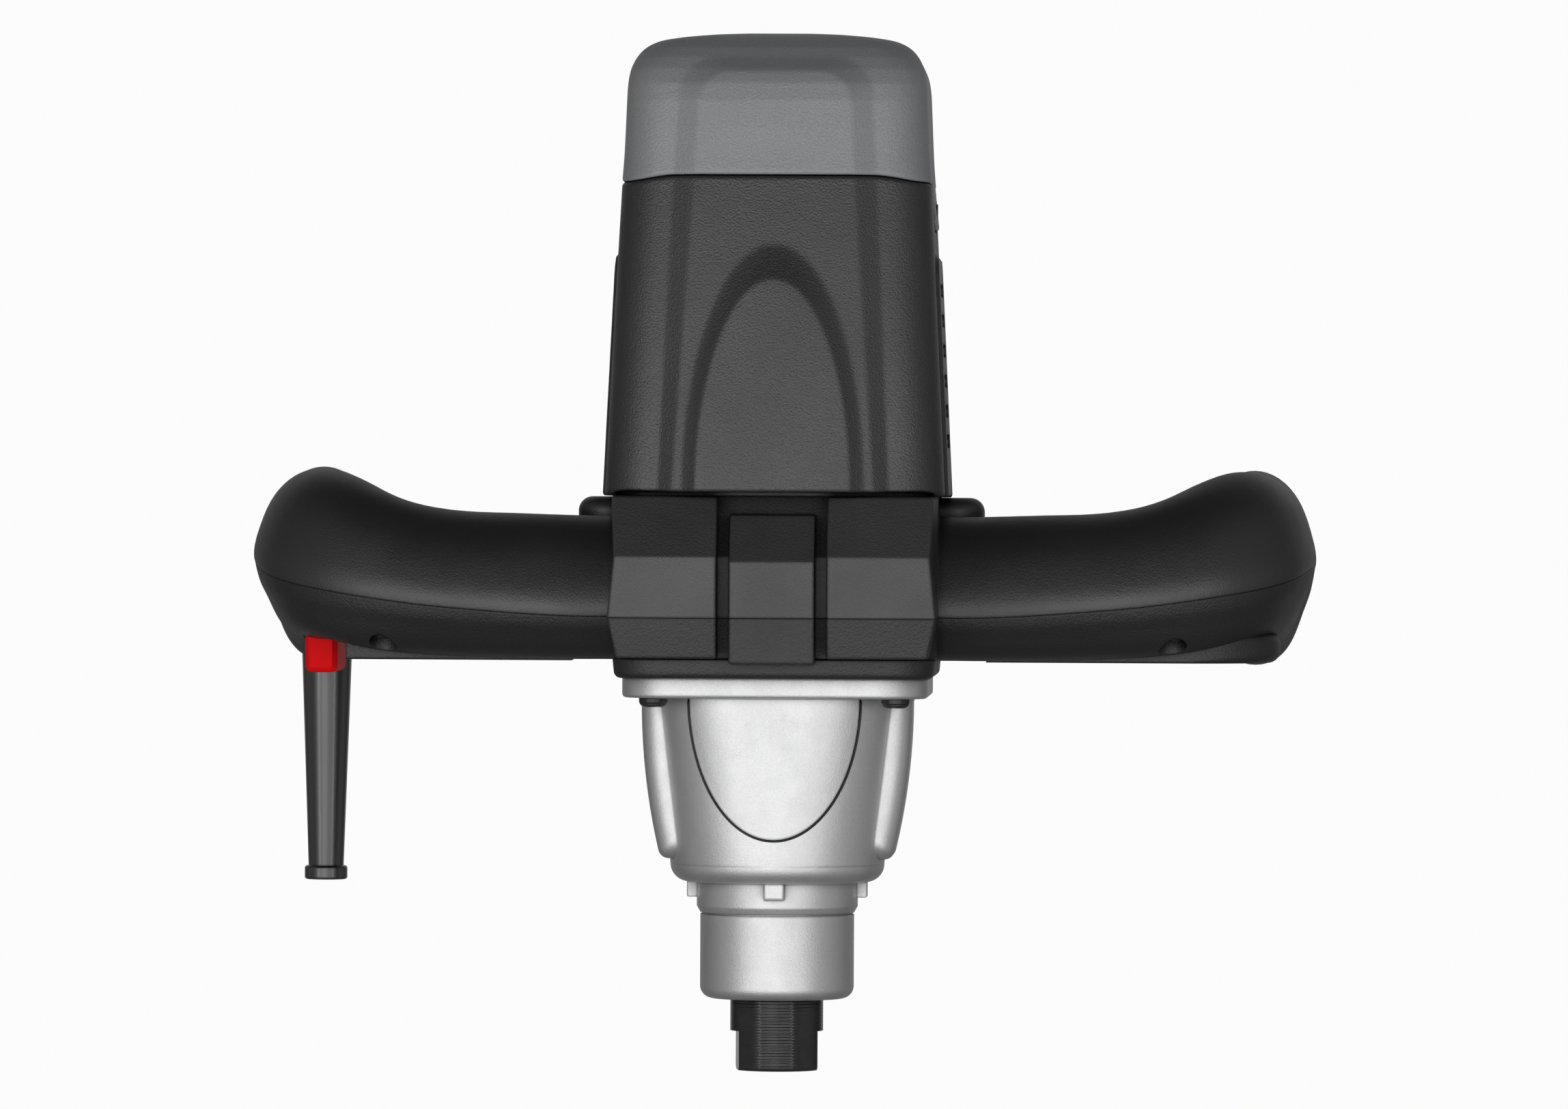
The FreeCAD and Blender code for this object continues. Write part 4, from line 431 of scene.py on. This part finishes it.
def make_world():
    """White for the camera and for glass; for light and gloss a studio that is bright in front.

    The studio is a sum of lobes: each is a smooth step of the dot product of the direction and the lobe's
    axis. The front lobe fades upwards and downwards, as between a dark ceiling and a dark ground. Gloss
    also sees a small share of the white.
    """
    world = bpy.data.worlds.new("studio")
    bpy.context.scene.world = world
    world.use_nodes = True
    sky = NodeTree(world.node_tree)
    sky.tree.nodes.clear()
    direction = sky.add("ShaderNodeTexCoord").outputs["Generated"]

    def lobe(axis, low, high, strength, base=0.0):
        """Smooth step from base to strength as the direction turns towards the axis."""
        dot = sky.add("ShaderNodeVectorMath", operation="DOT_PRODUCT")
        sky.join(direction, dot.inputs[0])
        dot.inputs[1].default_value = Vector(axis).normalized()
        return sky.ramp(dot.outputs["Value"], low, high, base, strength, "SMOOTHSTEP")

    def combine(operation, first, second):
        node = sky.add("ShaderNodeMath", operation=operation)
        sky.join(first, node.inputs[0])
        sky.join(second, node.inputs[1])
        return node.outputs["Value"]

    light = lobe(*FRONT_LOBE)
    for fade in (CEILING_FADE, GROUND_FADE):
        light = combine("MULTIPLY", light, lobe(*fade))
    for fill in FILL_LOBES:
        light = combine("ADD", light, lobe(*fill))
    studio = sky.add("ShaderNodeBackground")
    sky.join(light, studio.inputs["Strength"])
    backdrop = sky.add("ShaderNodeBackground")
    backdrop.inputs["Color"].default_value = BACKDROP
    path = sky.add("ShaderNodeLightPath")
    gloss = sky.ramp(path.outputs["Is Glossy Ray"], 0.0, 1.0, 0.0, GLOSS_SHARE)
    seen = combine("MAXIMUM", path.outputs["Is Camera Ray"], path.outputs["Is Transmission Ray"])
    shown = sky.add("ShaderNodeMixShader")
    sky.join(combine("MAXIMUM", seen, gloss), shown.inputs["Fac"])
    sky.join(studio.outputs["Background"], shown.inputs[1])
    sky.join(backdrop.outputs["Background"], shown.inputs[2])
    sky.join(shown.outputs["Shader"], sky.add("ShaderNodeOutputWorld").inputs["Surface"])


def make_floor():
    """Round pale floor under the tool, as a disc of rings and spokes; the camera sees it nearly white."""
    rings = np.linspace(0.0, FLOOR_RADIUS, FLOOR_RINGS)
    spokes = np.linspace(0.0, 2.0 * np.pi, FLOOR_SPOKES, endpoint=False)
    radius, angle = np.meshgrid(rings, spokes, indexing="ij")
    height = np.full_like(radius, -FLOOR_DROP)
    floor = grid_object("floor", np.stack([radius * np.cos(angle), radius * np.sin(angle), height], -1))
    shader = Shader("floor_paper", (0.86, 0.86, 0.86), 0.9)
    paper = shader.noise(0.004, detail=4.0, roughness=0.6)
    shader.feed("Base Color", shader.blend(paper, (0.85, 0.85, 0.85), (0.87, 0.87, 0.87)))
    shader.bump((paper, 0.00005))
    shader.put("Emission Color", (1.0, 1.0, 1.0, 1.0))
    camera_ray = shader.add("ShaderNodeLightPath").outputs["Is Camera Ray"]
    shader.feed("Emission Strength", shader.ramp(camera_ray, 0.0, 1.0, 0.0, FLOOR_PALENESS))
    floor.data.materials.append(shader.material)


def make_lamps():
    """Soft rectangular lamps, each turned to the middle of the tool."""
    for name, place, size, power in LAMPS:
        data = bpy.data.lights.new(name, "AREA")
        data.shape = "RECTANGLE"
        data.size, data.size_y = size
        data.energy = power
        light = bpy.data.objects.new(name, data)
        light.location = place
        light.rotation_mode = "QUATERNION"
        light.rotation_quaternion = (LAMP_TARGET - Vector(place)).to_track_quat("-Z", "Y")
        bpy.context.scene.collection.objects.link(light)


# Meshes

def grid_object(name, points):
    """Mesh object from a grid of points: quads between neighbouring rows, each row closed on itself."""
    rows, count = points.shape[:2]
    row, column = np.meshgrid(np.arange(rows - 1), np.arange(count), indexing="ij")
    following = (column + 1) % count
    quads = np.stack([row * count + column, row * count + following,
                      (row + 1) * count + following, (row + 1) * count + column], -1).reshape(-1, 4)
    mesh = bpy.data.meshes.new(name)
    mesh.from_pydata(points.reshape(-1, 3), [], quads)
    mesh.polygons.foreach_set("use_smooth", np.full(len(mesh.polygons), True))
    mesh.update()
    piece = bpy.data.objects.new(name, mesh)
    bpy.context.scene.collection.objects.link(piece)
    return piece


def closed_piece(name, points, slot, finish, *replaced):
    """Piece on the tool from a grid in millimetres: doubled points merged and hard edges kept hard."""
    piece = grid_object(name, points * MM)
    work = bmesh.new()
    work.from_mesh(piece.data)
    bmesh.ops.remove_doubles(work, verts=work.verts, dist=1e-7)
    bmesh.ops.recalc_face_normals(work, faces=work.faces)
    work.to_mesh(piece.data)
    work.free()
    piece.data.set_sharp_from_angle(angle=SHARP_EDGE)
    piece.data.materials.append(finish)
    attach(piece, "tool")
    if replaced:
        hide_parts(*replaced)


def columns(front, corner, side, back):
    """Columns round a rounded rectangle: shares of its straight half lengths and the outward angle."""
    spans = ((front, (-1, 1), (-1, -1), (-1, -1)), (corner, (1, 1), (-1, -1), (-1, 0)),
             (side, (1, 1), (-1, 1), (0, 0)), (corner, (1, 1), (1, 1), (0, 1)),
             (back, (1, -1), (1, 1), (1, 1)), (corner, (-1, -1), (1, 1), (1, 2)),
             (side, (-1, -1), (1, -1), (2, 2)), (corner, (-1, -1), (-1, -1), (2, 3)))
    shares = [[np.linspace(*ends, count, endpoint=False) for ends in (across, along, turn)]
              for count, across, along, turn in spans]
    across, along, turn = (np.concatenate(values) for values in zip(*shares))
    return across, along, turn * QUARTER_TURN


def ring(around, half_width, half_depth, corner):
    """Points of rounded rectangles, one for each row of the half width, half depth and corner."""
    across, along, angle = around
    return (across * (half_width - corner) + corner * np.cos(angle),
            along * (half_depth - corner) + corner * np.sin(angle))


def flat_faces(around):
    """Masks of the columns on the two flat sides and of those on the flat front."""
    facing = np.sin(around[2])
    return np.abs(facing) < 1e-6, np.abs(facing + 1.0) < 1e-6


def pushed(around, x, y, push):
    return x + push * np.cos(around[2]), y + push * np.sin(around[2])


# Motor housing and cap

def ramp_down(share):
    """Falls from 1 to 0 as the share goes from 0 to 1: straight, with hyperbola-rounded ends."""
    share = np.clip(share, -4.0, 5.0)
    rise = np.sqrt(share ** 2 + RAMP_ROUNDING ** 2) - np.sqrt((share - 1.0) ** 2 + RAMP_ROUNDING ** 2)
    return 0.5 * (1.0 - rise)


def recess(distance, edge):
    """Is 1 inside an outline and 0 outside: a ramp down of the distance outside it, edge millimetres wide."""
    return ramp_down(distance / edge + 0.5)


def smooth_step(low, high, value):
    """Cubic step 3t^2 - 2t^3 of the value's share t of the way from low to high."""
    share = np.clip((value - low) / (high - low), 0.0, 1.0)
    return share * share * (3.0 - 2.0 * share)


def outside(across, up, half_width, top, corner):
    """Distance outside a plate that has rounded top corners and no lower end."""
    side = np.abs(across) - (half_width - corner)
    over = up - (top - corner)
    beyond = np.hypot(np.maximum(side, 0.0), np.maximum(over, 0.0))
    return beyond + np.minimum(np.maximum(side, over), 0.0) - corner


def between(inner, outer):
    """Share of the way from an inner edge, where the first is 0, to an outer edge, where the second is 0."""
    return inner / np.maximum(inner - outer, 1e-6)


def front_relief(across, up):
    """Raised panel plus the arched tongue on it: each falls along a ramp between its two outlines.

    The panel's outlines are plates with rounded top corners; the tongue's are ellipses about the foot.
    """
    inner, outer = (outside(across, up, np.interp(up, PANEL_HEIGHTS, widths), top, corner)
                    for widths, top, corner in zip((PANEL_INNER, PANEL_OUTER), PANEL_TOPS, PANEL_CORNERS))
    panel = PANEL_PROUD * ramp_down(between(inner, outer))
    inner, outer = (np.hypot(across / half_width, up / height) - 1.0
                    for half_width, height in (ARCH_INNER, ARCH_OUTER))
    return panel + ARCH_PROUD * ramp_down(between(inner, outer))


def side_relief(along, up):
    """Raised vent panel, less its rounded slots and the pocket for the cap's skirt."""
    half_depth, top, corner, proud = SIDE_PANEL
    panel = proud * ramp_down(outside(along, up, half_depth, top, corner) / SIDE_PANEL_EDGE)
    slot = np.clip(np.round((up - VENT_START) / VENT_PITCH), 0, VENTS - 1)
    past_end = np.maximum(np.abs(along) - (VENT_HALF[0] - VENT_HALF[1]), 0.0)
    vent = np.hypot(past_end, up - VENT_START - slot * VENT_PITCH) - VENT_HALF[1]
    skirt_foot = HOUSING_TOP - HOUSING_BOTTOM - SKIRT_DROP
    pocket = outside(along, -up, SKIRT_HALF_DEPTH + SEAM_GAP, SEAM_GAP - skirt_foot, SKIRT_CORNER)
    return panel - VENT_DEPTH * recess(vent, VENT_EDGE) - SKIRT_POCKET * recess(pocket, RECESS_EDGE)


def rim_inset(distance):
    """Draws the wall in near a rim, by the square of the share of the softened edge that is left."""
    return -EDGE_INSET * np.maximum(1.0 - distance / EDGE_SOFTNESS, 0.0) ** 2


def seam_dip(around):
    """Drop of the seam below its middle: a cubic step towards the corners and sides."""
    x, _ = ring(around, *HOUSING_HEAD, HOUSING_CORNER)
    return SEAM_DIP * smooth_step(*SEAM_DIP_SPAN, np.abs(x))


def make_housing():
    """Tapered shell: rows climb the outside, cross the rim, go down the inside and meet the first row.

    Each row is a rounded rectangle between the foot's and the head's size, pushed out by the reliefs of
    front and sides and drawn in near both rims. The front leans back more towards the head.
    """
    around = columns(*SHELL_COLUMNS)
    sides, front = flat_faces(around)
    top = HOUSING_TOP - SEAM_GAP - seam_dip(around)
    height = HOUSING_TOP - HOUSING_BOTTOM
    edge = np.array(HOUSING_RIM_STEPS) / height
    outside_rows = np.concatenate([edge, np.linspace(*HOUSING_STEPS), 1.0 - edge[::-1]])
    inside_rows = np.linspace(1.0, 0.0, HOUSING_INNER_ROWS)
    rows = np.concatenate([outside_rows, inside_rows, [0.0]])[:, None]
    inset = np.zeros_like(rows)
    inset[len(outside_rows):-1] = HOUSING_WALL
    foot_x, _ = ring(around, *HOUSING_FOOT, HOUSING_CORNER)
    foot = HOUSING_BOTTOM - SIDE_LIP * smooth_step(*SIDE_LIP_SPAN, np.abs(foot_x))
    z = foot + rows * (top - foot)
    up = z - HOUSING_BOTTOM
    share = up / height
    half_width = HOUSING_FOOT[0] + (HOUSING_HEAD[0] - HOUSING_FOOT[0]) * share
    half_depth = HOUSING_FOOT[1] + (HOUSING_HEAD[1] - HOUSING_FOOT[1]) * share ** 2
    x, y = ring(around, half_width, half_depth, HOUSING_CORNER)
    push = rim_inset(np.minimum(z - foot, top - z)) + front * front_relief(x, up) + sides * side_relief(y, up)
    x, y = pushed(around, x, y, np.where(inset > 0.0, -inset, push))
    closed_piece("motor_housing_shell", np.stack([x, y, z], -1), "housing_plastic",
                 finishes["housing_plastic"], "motor_housing")


def cap_profile():
    """Rise and size shares from the wall to the crown: points joined straight, then a moving mean."""
    travel = np.concatenate([[0.0], np.cumsum(np.hypot(np.diff(CAP_RISE), np.diff(CAP_SIZE)))])
    steps = np.linspace(0.0, travel[-1], CAP_PROFILE_STEPS)
    blur = CAP_PROFILE_BLUR
    window = np.full(2 * blur + 1, 1.0 / (2 * blur + 1))
    picks = np.linspace(0, CAP_PROFILE_STEPS - 1, CAP_ROWS).astype(int)

    def mean(values, crown):
        line = np.pad(np.interp(steps, travel, values), (blur, 0), "reflect", reflect_type="odd")
        return np.convolve(np.pad(line, (0, blur), "reflect", reflect_type=crown), window, "valid")[picks]

    return mean(CAP_RISE, "even"), mean(CAP_SIZE, "odd")


def make_cap():
    """Crowned cap: rows go from the inner pole down the inside, across the rim and up to the outer pole.

    Each row is a rounded rectangle scaled by the cap's profile. Below the seam the sides run on as skirts
    that flare like the housing; the front carries on the housing's panel.
    """
    around = columns(*SHELL_COLUMNS)
    sides, front = flat_faces(around)
    _, along = ring(around, *HOUSING_HEAD, HOUSING_CORNER)
    past_corner = np.clip(np.abs(along) - (SKIRT_HALF_DEPTH - SKIRT_CORNER), 0.0, SKIRT_CORNER)
    skirt = SKIRT_DROP - SKIRT_CORNER + np.sqrt(SKIRT_CORNER ** 2 - past_corner ** 2)
    on_skirt = sides & (np.abs(along) < SKIRT_HALF_DEPTH)
    foot = HOUSING_TOP - np.where(on_skirt, skirt, seam_dip(around))

    rise, size = cap_profile()
    wall = size > CAP_WALL_SIZE
    climb = np.concatenate([CAP_RIM_STEPS, np.linspace(*CAP_WALL_STEPS)])[:, None]
    wall_top = HOUSING_TOP + CAP_HEIGHT * rise[wall][-1]
    wall_z = foot + climb * (wall_top - foot)
    wall_share = np.interp((wall_z - HOUSING_TOP) / CAP_HEIGHT, rise, size)
    wall_share = wall_share + SKIRT_FLARE * np.maximum(HOUSING_TOP - wall_z, 0.0)
    crown_z = HOUSING_TOP + CAP_HEIGHT * rise[~wall][:, None] + np.zeros_like(foot)
    z = np.concatenate([wall_z, crown_z])
    share = np.concatenate([wall_share, size[~wall][:, None] + np.zeros_like(foot)])
    depth = np.minimum(np.interp((z - HOUSING_TOP) / CAP_HEIGHT, CAP_DEPTH_RISE, CAP_DEPTH_SIZE), share)

    x, y = ring(around, HOUSING_HEAD[0] * share, HOUSING_HEAD[1] * depth, HOUSING_CORNER * depth)
    well_height, well_radius, well_depth = SCREW_WELL
    well = np.hypot(y, z - well_height) - well_radius
    push = rim_inset(z - foot) + front * front_relief(x, z - HOUSING_BOTTOM)
    push = push - sides * well_depth * recess(well, RECESS_EDGE)
    outer = np.stack([*pushed(around, x, y, push), z], -1)

    picks = np.linspace(len(z) - 1, 0, CAP_INNER_ROWS).astype(int)
    inner_z = np.where(z[picks] > foot + CAP_WALL, z[picks] - CAP_WALL, z[picks])
    inner_share = np.maximum(depth[picks] - CAP_WALL / HOUSING_HEAD[0], 0.0)
    x, y = ring(around, HOUSING_HEAD[0] * inner_share, HOUSING_HEAD[1] * inner_share,
                HOUSING_CORNER * inner_share)
    points = np.concatenate([np.stack([x, y, inner_z], -1), outer])
    closed_piece("top_cap_shell", points, "grey_plastic", finishes["grey_plastic"], "top_cap")


# Gear housing

def body_front(x, z):
    """Front surface of the drafted body: a rounded rectangle whose sizes change evenly with height."""
    share = (z - BODY_HEIGHTS[0]) / (BODY_HEIGHTS[1] - BODY_HEIGHTS[0])
    half_width, half_depth, corner = (low + (high - low) * share for low, high in zip(BODY_FOOT, BODY_HEAD))
    past = np.maximum(np.abs(x) - (half_width - corner), 0.0)
    return corner - half_depth - np.sqrt(corner ** 2 - past ** 2)


def make_shield_shadow_bead():
    """Painted shadow of the step under the shield: a dark bead, a circle carried along the lower half of an
    ellipse.
    """
    angle = np.linspace(0.0, np.pi, BEAD_STEPS)[:, None]
    turn = np.linspace(0.0, 2.0 * np.pi, BEAD_SIDES, endpoint=False)
    out_x, out_z = np.cos(angle) * SHIELD_DROP, -np.sin(angle) * SHIELD_HALF_WIDTH
    length = np.hypot(out_x, out_z)
    out_x, out_z = out_x / length, out_z / length
    x = SHIELD_HALF_WIDTH * np.cos(angle) + BEAD_OFFSET * out_x
    z = BODY_HEIGHTS[1] - SHIELD_DROP * np.sin(angle) + BEAD_OFFSET * out_z
    y = body_front(x, z) - BEAD_PROUD
    radius = np.where((angle > 0.0) & (angle < np.pi), BEAD_RADIUS, 0.0)
    reach = radius * np.cos(turn)
    points = np.stack([x + reach * out_x, y - radius * np.sin(turn), z + reach * out_z], -1)
    # The bead takes the near-black painted step shadow finish.
    closed_piece("shield_shadow_bead", points, "cast_aluminium", finishes["painted_step_shadow"])


# Handle

def make_sole(name, across, along, turn):
    """Rib under an arm: a rounded rectangle carried along a path and closed at both ends by poles.

    The path is given in plan by its points and by the angle that it has turned back from the X axis, and
    the rectangle's corners grow with the sine of that angle.
    """
    across, along, turn = (np.pad(line, 1, "edge")[:, None] for line in (across, along, turn))
    size = np.ones_like(across)
    size[[0, -1]] = 0.0
    corner = SOLE_CORNERS[0] + (SOLE_CORNERS[1] - SOLE_CORNERS[0]) * np.sin(turn)
    side, up = ring(columns(*SOLE_COLUMNS), SOLE_HALF[0] * size, SOLE_HALF[1] * size, corner * size)
    points = np.stack([across + side * np.sin(turn), along - side * np.cos(turn), SOLE_MIDDLE[1] + up], -1)
    closed_piece(name, points, "black_plastic", finishes["coarse_plastic"])


def make_soles():
    """Straight rib on the left; on the right a rib that turns a quarter circle back into the grip."""
    straight = np.linspace(-SOLE_LEFT_END, -SOLE_START, SOLE_LEFT_STEPS)
    make_sole("arm_sole_left", straight, np.full_like(straight, SOLE_MIDDLE[0]), np.zeros_like(straight))
    run = np.linspace(SOLE_START, SOLE_BEND_START, SOLE_STRAIGHT_STEPS, endpoint=False)
    run = np.pad(run, (0, SOLE_BEND_STEPS + SOLE_TAIL_STEPS), constant_values=SOLE_BEND_START)
    turn = np.linspace(0.0, QUARTER_TURN, SOLE_BEND_STEPS)
    turn = np.pad(turn, (SOLE_STRAIGHT_STEPS, SOLE_TAIL_STEPS), "edge")
    tail = np.linspace(0.0, SOLE_TAIL, SOLE_TAIL_STEPS + 1)[1:]
    tail = np.pad(tail, (SOLE_STRAIGHT_STEPS + SOLE_BEND_STEPS, 0))
    make_sole("arm_sole_right", run + SOLE_BEND * np.sin(turn),
              SOLE_MIDDLE[0] + SOLE_BEND * (1.0 - np.cos(turn)) + tail, turn)


# Finishes by material slot, and three that single pieces have instead; a moulded plastic is given by its
# colour, its roughness, its grain's size and depth in metres, and its sheen
BLACK = (0.008, 0.008, 0.008)
finishes = {
    "cast_aluminium": cast_aluminium("cast_aluminium", (0.655, 0.655, 0.66)),
    "black_plastic": moulded_plastic("black_plastic", BLACK, 0.44, 0.0005, 0.00009, 0.9),
    "housing_plastic": moulded_plastic("housing_plastic", (0.010, 0.010, 0.010), 0.40, 0.0005, 0.0002, 0.95),
    "grey_plastic": moulded_plastic("grey_plastic", (0.215, 0.223, 0.235), 0.42, 0.0005, 0.00018, 1.0),
    "red_plastic": bright_plastic("red_plastic", (0.74, 0.004, 0.006), (0.8, 0.01, 0.012)),
    "black_rubber": smooth_rubber("black_rubber", BLACK),
    "black_steel": blackened_steel("black_steel", (0.055, 0.055, 0.056), (0.14, 0.14, 0.145)),
    "bright_steel": ground_metal("bright_steel", (0.62, 0.62, 0.63), 0.0004),
    "lamination_steel": stacked_sheets("lamination_steel", (0.28, 0.27, 0.26)),
    "copper": wound_wire("copper", (0.65, 0.30, 0.16)),
    "brass": ground_metal("brass", (0.72, 0.55, 0.26), 0.0006),
    "carbon": moulded_plastic("carbon", (0.04, 0.04, 0.04), 0.6, 0.0004, 0.00002),
    "coarse_plastic": moulded_plastic("black_plastic_coarse", BLACK, 0.48, 0.0006, 0.0002, 0.68),
    # Painted shade: black steel five times darker, so that the handle screws read as shaded wells.
    "painted_shade_steel": blackened_steel("painted_shade_steel", (0.01, 0.01, 0.01), (0.014, 0.014, 0.014)),
    # Painted shadow: near-black casting for the bead in the shield's step.
    "painted_step_shadow": cast_aluminium("painted_step_shadow", (0.05, 0.05, 0.05)),
}
# The handle screws take the painted shade steel.
own_finish = {"handle_lower_shell": "coarse_plastic", "handle_screws": "painted_shade_steel"}

for subpart in frame["record"]["subparts"]:
    node = nodes[subpart["node"]]
    node.data.materials.clear()
    node.data.materials.append(finishes[own_finish.get(subpart["node"], subpart["material_slot"])])
make_housing()
make_cap()
make_shield_shadow_bead()
make_soles()

bpy.context.scene.view_settings.view_transform = "Standard"
make_camera()
make_world()
make_floor()
make_lamps()
